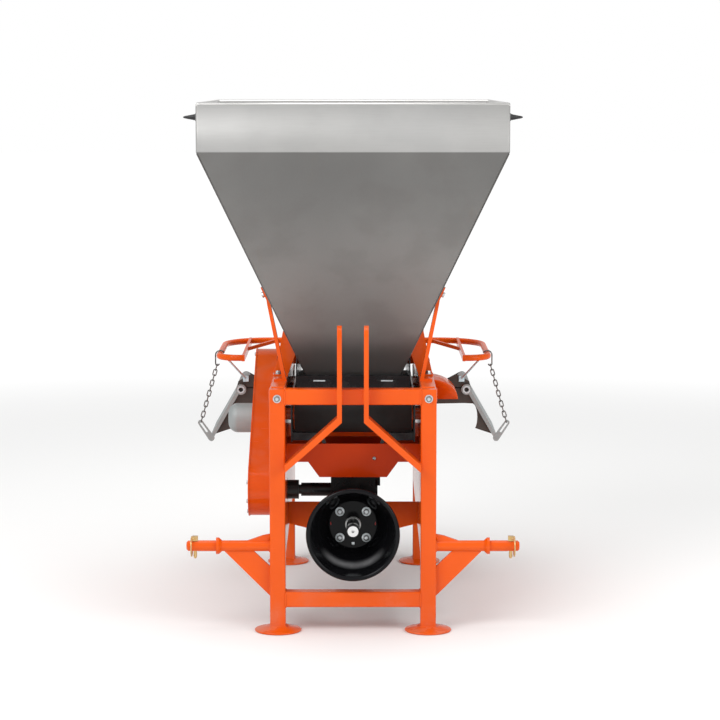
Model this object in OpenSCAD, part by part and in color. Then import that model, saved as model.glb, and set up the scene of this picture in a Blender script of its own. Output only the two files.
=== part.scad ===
// Three-point-hitch fertilizer spreader: a stainless hopper over a belt conveyor, on a tube frame,
// with a shaft-driven gearbox in front and a spinner disc between two hinged side flaps behind.
// X runs across the machine, Y from the tractor side to the rear, Z up from the ground.
// Rearward places are measured from the front face of the front legs.

/* [Frame] */
// Clear width between the left and right legs
inner_w = 346; // [330:1:420]
// Outer width of the square frame tube
tube_w = 40; // [34:1:48]
// Wall of the square frame tube
tube_t = 3; // [2:0.5:5]
// Corner radius of the square frame tube
tube_r = 4; // [2:0.5:6]
// Distance between front and rear legs, centre to centre
frame_l = 885; // [850:5:1060]
// Height of the top of the frame
frame_h = 628; // [610:1:760]
// Height of the centre of the lower front crossbar
low_bar_z = 84; // [60:1:110]
// Thickness of the side panels and cross plates
panel_t = 3; // [2:0.5:4]
// Diameter of a foot
foot_d = 120; // [90:1:150]
// Height of a foot
foot_h = 12; // [10:1:16]

/* [Hitch] */
// Height of the lower hitch pins
pin_z = 221; // [180:1:260]
// Diameter of a lower hitch pin
pin_d = 28; // [22:0.5:29]
// Free length of a lower hitch pin beyond its collar
pin_free = 76; // [60:1:90]
// Distance between the outer faces of the two collars
shoulder_w = 702; // [690:1:860]
// Diameter of the collar on a lower hitch pin
collar_d = 43; // [38:1:50]
// Width of the collar on a lower hitch pin
collar_w = 14; // [8:1:20]
// Thickness of a mast plate
mast_t = 12; // [8:1:16]
// Depth of a mast plate, front to rear
mast_d = 60; // [45:1:70]
// Clear gap between the two mast plates
mast_gap = 56; // [46:1:70]
// Height of the top of the mast
mast_h = 792; // [760:1:900]
// Bore for the top link pin
top_bore_d = 25.4; // [19:0.1:32]

/* [Hopper] */
// Outside width of the hopper rim
rim_w = 800; // [700:5:960]
// Outside length of the hopper rim, front to rear
rim_l = 890; // [780:5:960]
// Height of the upright rim band
rim_h = 126; // [90:1:160]
// Height of the hopper from outlet to the top of the rim
hopper_h = 712; // [600:1:860]
// Sheet thickness of the hopper
sheet_t = 3; // [2:0.5:4]
// Diameter of the rolled hem on the rim
hem_d = 12; // [8:1:16]
// Travel of the metering gate
gate_travel = 45; // [20:1:50]

/* [Conveyor] */
// Radius of the belt drums
drum_r = 42; // [38:0.5:46]
// Thickness of the belt
belt_t = 5; // [3:0.5:6]
// Height of the drum axes
drum_z = 545; // [535:1:550]
// Place of the front drum axis behind the front of the frame
idler_y = 147; // [140:1:170]
// Distance from the rear drum axis forward to the rear legs
drum_setback = 185; // [175:1:200]
// Diameter of the drum shafts
drum_shaft_d = 30; // [20:1:32]

/* [Drive] */
// Height of the input shaft
input_z = 257.5; // [250:0.5:265]
// Diameter of the splined input shaft
input_d = 34.9; // [30:0.1:35]
// Height of the cross shaft
cross_z = 337; // [335:0.5:338]
// Diameter of the cross shaft
cross_d = 25; // [20:1:26]
// Diameter of the guard cup at its mouth
cup_d = 240; // [200:1:250]
// Depth of the guard cup
cup_l = 155; // [120:1:160]
// Radius of the chain case round the small sprocket
case_small_r = 70; // [62:1:75]
// Radius of the chain case round the large sprocket
case_large_r = 110; // [104:1:116]
// Width of the chain case
case_w = 60; // [54:1:70]

/* [Spreader] */
// Diameter of the spinner disc
disc_d = 300; // [240:5:320]
// Height of the spinner disc
disc_z = 440; // [432:1:446]
// Height of the flap hinges
hinge_z = 523; // [515:1:530]
// Distance of a flap hinge from the middle of the machine
hinge_x = 325; // [315:1:350]
// Length of a flap below its hinge
flap_l = 165; // [130:1:180]
// Tilt of a resting flap from upright
flap_tilt = 30; // [24:1:34]
// Outer diameter of the rear guard tube
guard_d = 18; // [14:1:22]
// Height of the guard tube
guard_z = 625; // [615:1:640]
// Outside width of the guard tube
guard_w = 786; // [770:1:840]
// Number of links in a chain
chain_links = 11; // [9:2:13]
// Wire diameter of the chain
chain_wire = 3.2; // [2.5:0.1:4]

/* [Hidden] */
$fn = 48;

// Colours
orange = [0.93, 0.33, 0.1];
black = [0.08, 0.08, 0.09];
steel = [0.66, 0.66, 0.65];
dull_steel = [0.45, 0.43, 0.42];
brass = [0.78, 0.62, 0.3];

// Clearances
run = 0.05;
gap = 0.3;
bolt_gap = 0.25;

// The bolts of the frame, the gearbox and the cup are of one size
bolt_r = 5;
leg_x = inner_w / 2 + tube_w / 2;
leg_out = inner_w / 2 + tube_w;
panel_in = inner_w / 2;
panel_out = panel_in + panel_t;
leg_y = tube_w / 2;
rear_y = leg_y + frame_l;
rear_front = rear_y - tube_w / 2;
bar_z = frame_h - tube_w / 2;
rail_under = frame_h - tube_w;

// Conveyor places
side_t = 4;
boss_l = 12;
side_in = panel_in - boss_l - side_t;
belt_w = 2 * (side_in - 5);
drum_face = belt_w + 4;
belt_in = drum_r + gap;
belt_out = belt_in + belt_t;
belt_top = drum_z + belt_out;
belt_low = drum_z - belt_out;
drum_y = rear_front - drum_setback;
bearing_l = 24;
bearing_d = min(84, 2 * (rail_under - drum_z - 1));

// Hopper places
outlet_w = 2 * (side_in - 31);
box_w = 2 * (side_in - 7);
box_t = 3;
outlet_z = belt_top + 48;
rim_z = outlet_z + hopper_h;
slope_top = rim_z - rim_h;
slope_h = slope_top - outlet_z;
outlet_front = idler_y + 53;
outlet_rear = drum_y + 10;
rim_front = 80;
rim_rear = rim_front + rim_l;
box_front = outlet_front - 15;
box_rear = drum_y + 45;
box_low = belt_top + 4;
box_top = outlet_z + slope_h * (box_w / 2 - box_t - outlet_w / 2) / (rim_w / 2 - outlet_w / 2);
wall_lean = atan((rim_w - outlet_w) / 2 / slope_h);

// Drive places
case_in = leg_out + 2;
case_out = case_in + case_w;
case_y = 200;
worm_r = 42;
wheel_r = cross_z - input_z - worm_r - 1;
box_wall = 5.5;
gear_w = 116;
gear_front = 125;
gear_rear = gear_front + 143;
gear_low = input_z - worm_r - 20;
seat_d = input_d + 3;
pan_low = cross_z + wheel_r + 0.7 + box_wall;
pan_top = pan_low + 88;
pan_front = gear_front + 13;
pan_rear = gear_rear - 2;
pan_t = 4;
pan_bolts = [for (x = [-40, 40]) for (y = [pan_front + 25, pan_rear - 25]) [x, y]];
cup_y = gear_front - cup_l;
cup_bolt = 34.5;
tube_end = 137;
cup_base_r = 63.5;
pitch_small = 36.8;
pitch_large = 91.1;
chain_half = 6;
chain_w = 16;
chain_x = case_in + case_w / 2;

// Spreader places
disc_y = rear_y + 95;
spin_w = 110;
wing_y = drum_y + case_large_r + 10;
wing_rear = disc_y + 130;
wing_roof = hinge_z + 45;
barrel_r = 15;
hinge_tube_r = 11;
guard_r = guard_d / 2;
guard_rear = disc_y + 180;
guard_x = guard_w / 2 - guard_r;
guard_bend = 130;
guard_nose = 60;
guard_front = wing_y - 100;
guard_bar_x = max(guard_x - guard_nose - 15, case_out + 5);

// Hitch places: linchpins with their spring rings
linch_d = 9;
linch_head = 14;
linch_x = shoulder_w / 2 + pin_free - 22;
pin_end_d = pin_d - 1;
linch_top = pin_z + pin_end_d / 2;
ring_r = 25;
ring_wire = 1.9;
ring_hinge_z = linch_top + 6;

// Pads and brackets that hold the hopper
pad_low = outlet_z + 192;
pad_high = pad_low + 40;
pad_t = 6;
strut_places = [outlet_front - 28, outlet_rear + 25];
strut_d = 30;
bracket_places = [outlet_front + 100, outlet_rear - 80];
bracket_t = 5;

// Gate and drum shaft ends
gate_w = outlet_w - 16;
gate_y = box_rear + gap;
gate_h = 62;
shaft_end = panel_out + bearing_l + 6;

// Screws stand in a row round the cover of the chain case
case_inset = 12;
case_way = [drum_y - case_y, drum_z - cross_z];
case_turn = atan2(case_way[1], case_way[0]);
case_screw_places = concat(
    [for (a = [130:50:230]) [case_y, cross_z]
        + (case_small_r - case_inset) * [cos(a + case_turn), sin(a + case_turn)]],
    [for (a = [-80:40:80]) [drum_y, drum_z]
        + (case_large_r - case_inset) * [cos(a + case_turn), sin(a + case_turn)]]
);

// Bevel gears at right angles: each is a cone whose tip is the point where the axes meet
bevel_far = 38;
bevel_near = 22;
bevel_shaft_r = 12.5;
spin_low = input_z - spin_w / 2;
spin_high = input_z + spin_w / 2;

// Flaps are drawn along their own slope from the hinge
down_way = [sin(flap_tilt), -cos(flap_tilt)];
out_way = [cos(flap_tilt), sin(flap_tilt)];
hinge_at = [hinge_x, hinge_z];
flap_near = 6;
flap_t = 3;

function flap_at(s, n) = hinge_at + s * down_way + n * out_way;

// Chain lug on the front flange of a flap
lug_y = wing_y - 14;
lug_t = 3;
lug_low = flap_at(flap_l, 4);
lug_end = lug_low + [31, 45];
lug_way = (lug_end - lug_low) / norm(lug_end - lug_low);
slot_r = 3;
slot_end = lug_end - lug_way * 1.2;

// Chain from the slot of the lug to a hook that lies over the guard tube
hook_r = 13.5;
hook_wire = 2;
hook_eye_r = 5;
hook_eye = [guard_x + hook_r - hook_eye_r, guard_z - 27];
chain_way = (hook_eye - slot_end) / norm(hook_eye - slot_end);
chain_low = slot_end + chain_way * (1 + (chain_wire + gap) / 2);
chain_high = hook_eye - chain_way * (hook_eye_r - hook_wire - gap / 2);
chain_pitch = norm(chain_high - chain_low) / chain_links;
chain_turn = atan2(chain_way[0], chain_way[1]);

// The origin stands in the middle of the outline on the ground
mast_front = -(mast_d - 24);
front_most = min(mast_front, cup_y, leg_y - foot_d / 2);
mid_y = (guard_rear + guard_r + front_most) / 2;

function wall_x(z) = outlet_w / 2 + (z - outlet_z) / slope_h * (rim_w - outlet_w) / 2;

module in_place() {
    translate([0, -mid_y, 0]) children();
}

module both_sides() {
    children();
    mirror([1, 0, 0]) children();
}

// A centred box with its lowest face at the origin
module block(w, d, h) {
    translate([-w / 2, -d / 2, 0]) cube([w, d, h]);
}

// A rod along X, Y or Z from a point
module rod_x(r, l) { rotate([0, 90, 0]) cylinder(r = r, h = l); }
module rod_y(r, l) { rotate([-90, 0, 0]) cylinder(r = r, h = l); }

// An upright profile, drawn in X and Z, with its thickness running back along Y
module upright(y, t) {
    translate([0, y + t, 0]) rotate([90, 0, 0]) linear_extrude(t) children();
}

// A side profile, drawn in Y and Z, with its thickness running along X
module sideways(x, t) {
    translate([x, 0, 0]) rotate([90, 0, 90]) linear_extrude(t) children();
}

module rounded_square(w, r) {
    union() {
        square([w, w - 2 * r], center = true);
        square([w - 2 * r, w], center = true);
        for (x = [-1, 1]) for (y = [-1, 1]) translate([x, y] * (w / 2 - r)) circle(r);
    }
}

// Square tube standing on the origin
module square_tube(l) {
    linear_extrude(l) difference() {
        rounded_square(tube_w, tube_r);
        square(tube_w - 2 * tube_t, center = true);
    }
}

// Front or rear pair of legs, closed on top
module leg_pair(y) {
    both_sides() translate([leg_x, y, foot_h]) union() {
        square_tube(frame_h - foot_h);
        translate([0, 0, frame_h - foot_h - tube_t])
            block(tube_w - 2 * tube_t + 1, tube_w - 2 * tube_t + 1, tube_t);
    }
}

// Outline round two circles, as a row of points
function round_two(p, r, q, s) =
    let (
        steps = 48,
        way = q - p,
        turn = atan2(way[1], way[0]),
        lean = acos((r - s) / norm(way))
    )
    concat(
        [for (i = [0:steps]) let (a = turn + lean + i * (360 - 2 * lean) / steps)
            p + r * [cos(a), sin(a)]],
        [for (i = [0:steps]) let (a = turn - lean + i * 2 * lean / steps)
            q + s * [cos(a), sin(a)]]
    );

module belt_outline(p, r, q, s) {
    polygon(round_two(p, r, q, s));
}

// Hexagon bolt along Z: the washer face lies on z = 0 and the shank goes down
module bolt(d, l) {
    union() {
        cylinder(d = 2.1 * d, h = 0.16 * d);
        cylinder(d = 1.8 * d, h = 0.7 * d, $fn = 6);
        translate([0, 0, -l]) cylinder(d = d, h = l + 0.1);
    }
}

module front_legs() {
    color(orange) in_place() difference() {
        leg_pair(leg_y);
        both_sides() translate([leg_x, -1, bar_z - 4]) rod_y(bolt_r + bolt_gap, tube_t + 2);
    }
}

module rear_legs() {
    color(orange) in_place() leg_pair(rear_y);
}

module feet() {
    edge = 2.5;
    color(orange) in_place() both_sides() for (y = [leg_y, rear_y])
        translate([leg_x, y, 0]) rotate_extrude() union() {
            square([foot_d / 2 - edge, 2 * edge]);
            translate([foot_d / 2 - edge, edge]) circle(edge, $fn = 24);
            translate([0, edge]) square([tube_w * 0.72, foot_h - edge]);
            polygon([
                [tube_w * 0.72, foot_h], [foot_d / 2 - edge, 2 * edge],
                [foot_d / 2 - edge, edge], [tube_w * 0.72, edge]
            ]);
        }
}

module front_crossbars() {
    color(orange) in_place() for (z = [low_bar_z, bar_z])
        translate([-inner_w / 2, leg_y, z]) rotate([0, 90, 0]) square_tube(inner_w);
}

module rear_crossbar() {
    color(orange) in_place()
        translate([-inner_w / 2, rear_y, bar_z]) rotate([0, 90, 0]) square_tube(inner_w);
}

module side_rails() {
    color(orange) in_place() both_sides()
        translate([leg_x, rear_front, bar_z]) rotate([90, 0, 0]) square_tube(rear_front - tube_w);
}

// Side sheets from the front legs to the rear legs, with holes for the three shafts
module side_panels() {
    low_front = 200;
    low_rear = 250;
    color(orange) in_place() for (s = [-1, 1]) difference() {
        sideways(s > 0 ? panel_in : -panel_out, panel_t) polygon([
            [tube_w, low_front], [rear_front, low_rear], [rear_front, rail_under],
            [tube_w, rail_under]
        ]);
        for (y = [idler_y, drum_y])
            translate([s > 0 ? panel_in - 1 : -panel_out - 1, y, drum_z])
                rod_x(drum_shaft_d / 2 + 3, panel_t + 2);
        if (s < 0) translate([-panel_out - 1, case_y, cross_z]) rod_x(31, panel_t + 2);
    }
}

// Cross plate under the conveyor that the drive shaft passes through
module mid_cross_plate() {
    plate_y = 325;
    color(orange) in_place() difference() {
        upright(plate_y, 2 * panel_t) polygon([
            [-panel_in, 222], [-110, 206], [-70, 190], [70, 190], [110, 206], [panel_in, 222],
            [panel_in, 281], [-panel_in, 281]
        ]);
        translate([0, plate_y - 1, input_z]) rod_y(24, 2 * panel_t + 2);
    }
}

// Plate between the rear legs, with a post in front of it and an arm for the spinner gearbox
module rear_cross_plate() {
    low = 359;
    high = 415;
    post_w = 60;
    plate_t = 4;
    arm_l = disc_y - spin_w / 2 - rear_front - plate_t;
    color(orange) in_place() difference() {
        union() {
            upright(rear_front, plate_t) polygon([
                [-inner_w / 2, low], [inner_w / 2, low], [inner_w / 2, high], [-inner_w / 2, high]
            ]);
            upright(rear_front - 10, 10) polygon([
                [-post_w / 2, 190], [post_w / 2, 190], [post_w / 2, high - 5],
                [-post_w / 2, high - 5]
            ]);
            both_sides() translate([post_w / 2 - 5, rear_front, 200]) cube([5, arm_l + plate_t, 100]);
        }
        translate([0, rear_front - 11, input_z]) rod_y(24, 12);
    }
}

// Channel between the side panels that the gearbox hangs from
module gearbox_pan() {
    shoulder = pan_low + 40;
    flange = 88;
    module outline() {
        polygon([
            [-panel_in, pan_top], [-panel_in, shoulder], [-117, shoulder], [-flange, pan_low],
            [flange, pan_low], [117, shoulder], [panel_in, shoulder], [panel_in, pan_top]
        ]);
    }
    color(orange) in_place() difference() {
        union() {
            upright(pan_front, pan_t) outline();
            upright(pan_rear, pan_t) outline();
            translate([-flange, pan_front + 1, pan_low]) cube([2 * flange, pan_rear - pan_front, pan_t]);
        }
        for (p = pan_bolts)
            translate([p[0], p[1], pan_low - 1]) cylinder(r = bolt_r + bolt_gap, h = pan_t + 2);
    }
}

// Two flat bars that stand before the top crossbar and splay to the legs below it
module mast_plates() {
    bend_z = 555;
    foot_z = 431;
    in_x = mast_gap / 2;
    out_x = in_x + mast_t;
    leg_in = inner_w / 2;
    rise = 0.62 * mast_t;
    color(orange) in_place() both_sides() difference() {
        translate([0, mast_front, 0]) intersection() {
            upright(0, mast_d) polygon([
                [in_x, mast_h], [in_x, bend_z - rise], [leg_in, foot_z - mast_t],
                [leg_in, foot_z + rise], [out_x, bend_z + rise / 2], [out_x, mast_h]
            ]);
            sideways(0, leg_in) union() {
                square([mast_d, mast_h - mast_d / 2]);
                translate([mast_d / 2, mast_h - mast_d / 2]) circle(mast_d / 2);
            }
        }
        translate([0, 0, rail_under]) cube([inner_w / 2 + 1, tube_w, tube_w]);
        translate([-1, mast_front + mast_d / 2, mast_h - mast_d / 2])
            rod_x(top_bore_d / 2, out_x + 2);
    }
}

// Lower hitch pins, welded to the outer faces of the front legs
module hitch_pins() {
    tip = shoulder_w / 2 + pin_free;
    step_x = linch_x - linch_head / 2 - 1;
    chamfer = 4;
    undercut = 1.5;
    color(orange) in_place() both_sides() difference() {
        translate([leg_out, leg_y, pin_z]) rotate([0, 90, 0]) union() {
            cylinder(d = pin_d, h = step_x - leg_out);
            translate([0, 0, step_x - leg_out - 1])
                cylinder(d = pin_end_d, h = tip - chamfer - step_x + 1);
            translate([0, 0, tip - leg_out - chamfer])
                cylinder(d1 = pin_end_d, d2 = pin_end_d - 2 * chamfer, h = chamfer);
            translate([0, 0, shoulder_w / 2 - leg_out - collar_w])
                cylinder(d1 = pin_d + 2, d2 = collar_d, h = collar_w / 2);
            translate([0, 0, shoulder_w / 2 - leg_out - collar_w / 2])
                cylinder(d = collar_d, h = collar_w / 2);
        }
        translate([shoulder_w / 2, leg_y, pin_z]) rotate([0, 90, 0]) difference() {
            cylinder(d = collar_d, h = undercut);
            translate([0, 0, -1]) cylinder(d = pin_d - 1, h = undercut + 2);
        }
        translate([linch_x, leg_y, pin_z - pin_d]) cylinder(d = linch_d + 2 * gap, h = 2 * pin_d);
    }
}

// Web on top and strut below each lower hitch pin
module hitch_gussets() {
    tip = shoulder_w / 2 - collar_w - 7;
    color(orange) in_place() both_sides() difference() {
        upright(leg_y - 5, 10) union() {
            polygon([
                [leg_out, 91], [leg_out, 168], [leg_out + 42, 208], [leg_out + 42, pin_z],
                [tip, pin_z], [tip, 208]
            ]);
            polygon([
                [leg_out, pin_z], [leg_out, pin_z + 31], [leg_out + 20, pin_z + 27],
                [leg_out + 68, pin_z + 10], [leg_out + 68, pin_z]
            ]);
        }
        translate([leg_out - 1, leg_y, pin_z]) rod_x(pin_d / 2, shoulder_w);
    }
}

// Linchpin: an upright shank through the hitch pin, with a head that holds its ring
module linchpin() {
    color(brass) in_place() translate([linch_x, leg_y, linch_top]) difference() {
        union() {
            translate([0, 0, -pin_d - 14]) cylinder(d = linch_d, h = pin_d + 15);
            translate([0, 0, -pin_d - 18]) cylinder(d1 = linch_d - 4, d2 = linch_d, h = 4);
            block(linch_head, linch_head, 12);
        }
        translate([0, -10, ring_hinge_z - linch_top]) rod_y(ring_wire + 0.1, 20);
    }
}

module right_linchpin() { linchpin(); }
module left_linchpin() { mirror([1, 0, 0]) linchpin(); }

// Spring ring of a linchpin: it hinges in the head and goes round the hitch pin
module linchpin_ring() {
    ring_x = linch_x + linch_head / 2 + gap + ring_wire;
    half = 9;
    color(brass) in_place() union() {
        difference() {
            translate([ring_x, leg_y, ring_hinge_z - ring_r + 4]) rotate([0, 90, 0])
                rotate_extrude() translate([ring_r, 0]) circle(ring_wire, $fn = 24);
            translate([ring_x - 5, leg_y - half, ring_hinge_z - 2.4]) cube([10, 2 * half, 10]);
        }
        translate([linch_x, leg_y - half, ring_hinge_z]) rod_y(ring_wire, 2 * half);
        for (y = [leg_y - half, leg_y + half]) {
            for (x = [linch_x, ring_x]) translate([x, y, ring_hinge_z]) sphere(ring_wire, $fn = 24);
            translate([linch_x, y, ring_hinge_z]) rod_x(ring_wire, ring_x - linch_x);
            translate([ring_x, y, ring_hinge_z - 3.4]) cylinder(r = ring_wire, h = 3.4);
        }
    }
}

module right_linchpin_ring() { linchpin_ring(); }
module left_linchpin_ring() { mirror([1, 0, 0]) linchpin_ring(); }

module frame_bolts() {
    color(steel) in_place() {
        both_sides() translate([leg_x, 0, bar_z - 4]) rotate([90, 0, 0]) bolt(2 * bolt_r, 8);
        for (p = pan_bolts) translate([p[0], p[1], pan_low + pan_t]) bolt(2 * bolt_r, pan_t + 12);
        translate([55, pan_front, pan_low + 50]) rotate([90, 0, 0]) cylinder(d = 9, h = 4);
    }
}

// Hopper of stainless sheet: sloped walls under an upright band with a rolled hem
module hopper() {
    module shell(t) {
        down = t > 0 ? 5 : 0;
        union() {
            hull() {
                translate([-outlet_w / 2 + t, outlet_front + t, outlet_z - down])
                    cube([outlet_w - 2 * t, outlet_rear - outlet_front - 2 * t, 0.01 + down]);
                translate([-rim_w / 2 + t, rim_front + t, slope_top - 0.01])
                    cube([rim_w - 2 * t, rim_l - 2 * t, 0.01]);
            }
            translate([-rim_w / 2 + t, rim_front + t, slope_top - 0.01])
                cube([rim_w - 2 * t, rim_l - 2 * t, rim_h - hem_d / 2 + 0.01 + down]);
        }
    }
    hem_r = hem_d / 2;
    hem_x = rim_w / 2 - hem_r;
    color(steel) in_place() {
        difference() {
            shell(0);
            shell(sheet_t);
        }
        difference() {
            union() for (y = [rim_front + hem_r, rim_rear - hem_r]) {
                translate([-hem_x, y, rim_z - hem_r]) rod_x(hem_r, 2 * hem_x);
                for (s = [-1, 1]) translate([s * hem_x, y, rim_z - hem_r]) sphere(hem_r);
                for (s = [-1, 1]) translate([s * hem_x, rim_front + hem_r, rim_z - hem_r])
                    rod_y(hem_r, rim_l - hem_d);
            }
            translate([-rim_w, 0, slope_top]) cube([2 * rim_w, 2 * rim_l, rim_h - hem_r]);
        }
    }
}

// Ribbed cone-shaped hooks for a tarpaulin on the sides of the rim
module tarp_hooks() {
    rib_w = 4.2;
    color(black) in_place() both_sides()
        for (y = [rim_front + 40, (rim_front + rim_rear) / 2, rim_rear - 40])
            translate([rim_w / 2, y, rim_z - 38]) rotate([0, 90, 0]) union() {
                cylinder(d = 20, h = 3);
                for (i = [0:5]) translate([0, 0, 3 + i * rib_w])
                    cylinder(d1 = 17 - 1.6 * i, d2 = 14.2 - 1.6 * i, h = rib_w);
                translate([0, 0, 3 + 6 * rib_w]) cylinder(d1 = 7.5, d2 = 3, h = 5.8);
            }
}

// Flat bars from the side rails up to the hopper walls
module hopper_struts() {
    color(orange) in_place() both_sides() for (y = strut_places)
        upright(y, strut_d) polygon([
            [panel_in + 1, frame_h], [leg_out - 6, frame_h], [leg_out - 6, frame_h + 5],
            [panel_in + 12, frame_h + 5], [wall_x(pad_low) + pad_t + 2, pad_low - 4],
            [wall_x(pad_low + 8) + pad_t, pad_low + 8],
            [wall_x(pad_high) + pad_t, pad_high], [wall_x(pad_high), pad_high],
            [wall_x(pad_low), pad_low], [panel_in + 3, frame_h + 10], [panel_in + 1, frame_h + 5]
        ]);
}

// Upright plates on the side rails that the hopper walls rest against
module hopper_brackets() {
    high = outlet_z + 105;
    out_x = box_w / 2 + 2;
    color(orange) in_place() both_sides() for (y = bracket_places) {
        upright(y, bracket_t) polygon([
            [leg_out - 2, frame_h + 4], [panel_in, frame_h + 4],
            [out_x, box_top + 4], [wall_x(box_top + 6), box_top + 6],
            [wall_x(high), high], [wall_x(high) + 12, high], [leg_out - 14, box_top]
        ]);
        translate([panel_in, y - 18, frame_h]) cube([tube_w, 36 + bracket_t, 4]);
        translate([wall_x(high - 34), y, high - 34]) rotate([0, wall_lean, 0])
            translate([0, -12, 0]) cube([4, 24 + bracket_t, 34]);
    }
}

// Bolt heads on the strut pads and the bracket feet
module hopper_bolts() {
    color(steel) in_place() both_sides() {
        for (y = strut_places) {
            z = (pad_low + pad_high) / 2 + 4;
            translate([wall_x(z), y + strut_d / 2, z]) rotate([0, 90 + wall_lean, 0])
                translate([0, 0, pad_t * cos(wall_lean)]) cylinder(d = 16, h = 7, $fn = 6);
        }
        for (y = bracket_places) translate([leg_x + 6, y - 9, frame_h + 4]) union() {
            cylinder(d = 18, h = 2);
            cylinder(d = 15, h = 9, $fn = 6);
        }
    }
}

// Black box under the hopper that guides the load onto the belt
module outlet_box() {
    t = box_t;
    lintel = box_low + 52;
    slot_z = box_low + 29;
    color(black) in_place() union() {
        both_sides() sideways(box_w / 2 - t, t) polygon([
            [box_front, box_low], [box_rear, box_low], [box_rear, lintel + 34],
            [outlet_rear, box_top], [outlet_front, box_top], [box_front, outlet_z]
        ]);
        difference() {
            translate([-box_w / 2, box_front, box_low]) cube([box_w, t, outlet_z - box_low]);
            both_sides() translate([62, box_front - 1, slot_z]) cube([52, t + 2, 5]);
        }
        translate([-box_w / 2, box_front, outlet_z - t]) cube([box_w, outlet_front - box_front, t]);
        translate([-box_w / 2, box_rear - t, lintel]) cube([box_w, t, 34]);
        translate([-box_w / 2, outlet_rear + 12, lintel]) cube([box_w, box_rear - outlet_rear - 12, t]);
        both_sides() {
            translate([gate_w / 2 + gap, box_rear - 0.1, lintel - 4]) cube([10, 4.1, gate_travel + 1]);
            translate([gate_w / 2 - 10, box_rear + 4, lintel - 4]) cube([20 + gap, 2.5, gate_travel + 1]);
        }
    }
}

// Sliding gate that sets how much the belt carries out
module gate() {
    color(dull_steel) in_place() union() {
        translate([-gate_w / 2, gate_y, box_low - 1]) cube([gate_w, 3, gate_h]);
        translate([-30, gate_y, box_low - 1 + gate_h - 3]) cube([60, 30, 3]);
        translate([-30, gate_y + 27, box_low - 1 + gate_h - 3]) cube([60, 3, 14]);
    }
}

// Black side plates of the conveyor, spaced off the side panels by bosses
module conveyor_sides() {
    low = belt_low - 22;
    front = idler_y - belt_out;
    rear = drum_y + belt_out;
    high = belt_top + 0.5;
    color(black) in_place() both_sides() difference() {
        union() {
            sideways(side_in, side_t) polygon([
                [front, low + 20], [front + 20, low], [rear - 20, low], [rear, low + 20],
                [rear, high], [front, high]
            ]);
            for (y = [idler_y + 70, (idler_y + drum_y) / 2, drum_y - 70])
                translate([side_in + side_t - 0.1, y, drum_z]) rod_x(12, boss_l + 0.1);
            translate([side_in - 64, front + 45, low]) cube([65, rear - front - 90, 3]);
            upright(front + 45, 4) polygon([
                [side_in - 64, low], [side_in + 1, low], [side_in + 1, belt_low - 2],
                [side_in - 64, belt_low - 2]
            ]);
            upright(pan_front + 4, front + 49 - pan_front - 4) polygon([
                [side_in - 64, low + 16], [side_in - 80, low + 8], [side_in - 102, pan_top - 30],
                [side_in - 94, pan_top - 30], [side_in - 74, low], [side_in - 64, low + 3]
            ]);
        }
        for (y = [idler_y, drum_y])
            translate([side_in - 1, y, drum_z]) rod_x(drum_shaft_d / 2 + 3, side_t + 2);
    }
}

module belt() {
    color(black) in_place() sideways(-belt_w / 2, belt_w) difference() {
        belt_outline([idler_y, drum_z], belt_out, [drum_y, drum_z], belt_out);
        belt_outline([idler_y, drum_z], belt_in, [drum_y, drum_z], belt_in);
    }
}

// Drum with a round shell, two end plates and a shaft
module drum(y, left, right) {
    shell = 4;
    plate = 8;
    translate([-left, y, drum_z]) rod_x(drum_shaft_d / 2, left + right);
    translate([0, y, drum_z]) difference() {
        translate([-drum_face / 2, 0, 0]) rod_x(drum_r, drum_face);
        translate([-drum_face / 2 + plate, 0, 0]) rod_x(drum_r - shell, drum_face - 2 * plate);
    }
}

module front_drum() {
    color(steel) in_place() union() drum(idler_y, shaft_end, shaft_end);
}

module rear_drum() {
    color(steel) in_place() union() drum(drum_y, chain_x + 14, shaft_end + 12);
}

// Flange bearings of the drums outside the side panels, and of the cross shaft at the chain case
module drum_bearings() {
    module flange_bearing(shaft) {
        difference() {
            union() {
                cylinder(d = bearing_d, h = 9);
                cylinder(d = bearing_d * 0.62, h = bearing_l);
                for (a = [45:90:315]) rotate(a) translate([bearing_d / 2 - 8, 0, 8.8])
                    cylinder(d = 11, h = 6, $fn = 6);
            }
            translate([0, 0, -1]) cylinder(d = shaft + 2 * run, h = bearing_l + 2);
        }
    }
    color(black) in_place() {
        for (y = [idler_y, drum_y]) both_sides()
            translate([panel_out, y, drum_z]) rotate([0, 90, 0]) flange_bearing(drum_shaft_d);
        translate([-case_in, case_y, cross_z]) rotate([0, 90, 0]) difference() {
            cylinder(d = 74, h = 12);
            translate([0, 0, -1]) cylinder(d = cross_d + 2 * run, h = 14);
        }
    }
}

// Cast housing with the shaft bores
module gearbox_housing() {
    in_w = gear_w - 2 * 8;
    color(black) in_place() difference() {
        union() {
            translate([-gear_w / 2, gear_front + 10, gear_low + 20])
                cube([gear_w, gear_rear - gear_front - 10, pan_low - gear_low - 20]);
            translate([0, gear_front, input_z]) rod_y(56, gear_rear - gear_front);
            translate([-gear_w / 2, gear_front + 70, cross_z]) rod_x(33, gear_w);
        }
        translate([-in_w / 2, gear_front + 20, gear_low + 30])
            cube([in_w, gear_rear - gear_front - 40, pan_low - gear_low - 30 - box_wall]);
        translate([0, gear_front + 20, input_z]) rod_y(worm_r + 4, gear_rear - gear_front - 40);
        translate([0, gear_front - 1, input_z]) rod_y(30, gear_rear - gear_front + 2);
        translate([-gear_w / 2 - 1, case_y, cross_z]) rod_x(24, gear_w + 2);
        for (x = [-1, 1]) for (z = [-1, 1])
            translate([x * cup_bolt, gear_front - 1, input_z + z * cup_bolt])
                rod_y(bolt_r + bolt_gap, 13);
        for (p = pan_bolts)
            translate([p[0], p[1], pan_low - 14]) cylinder(r = bolt_r + bolt_gap, h = 15);
    }
}

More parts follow.
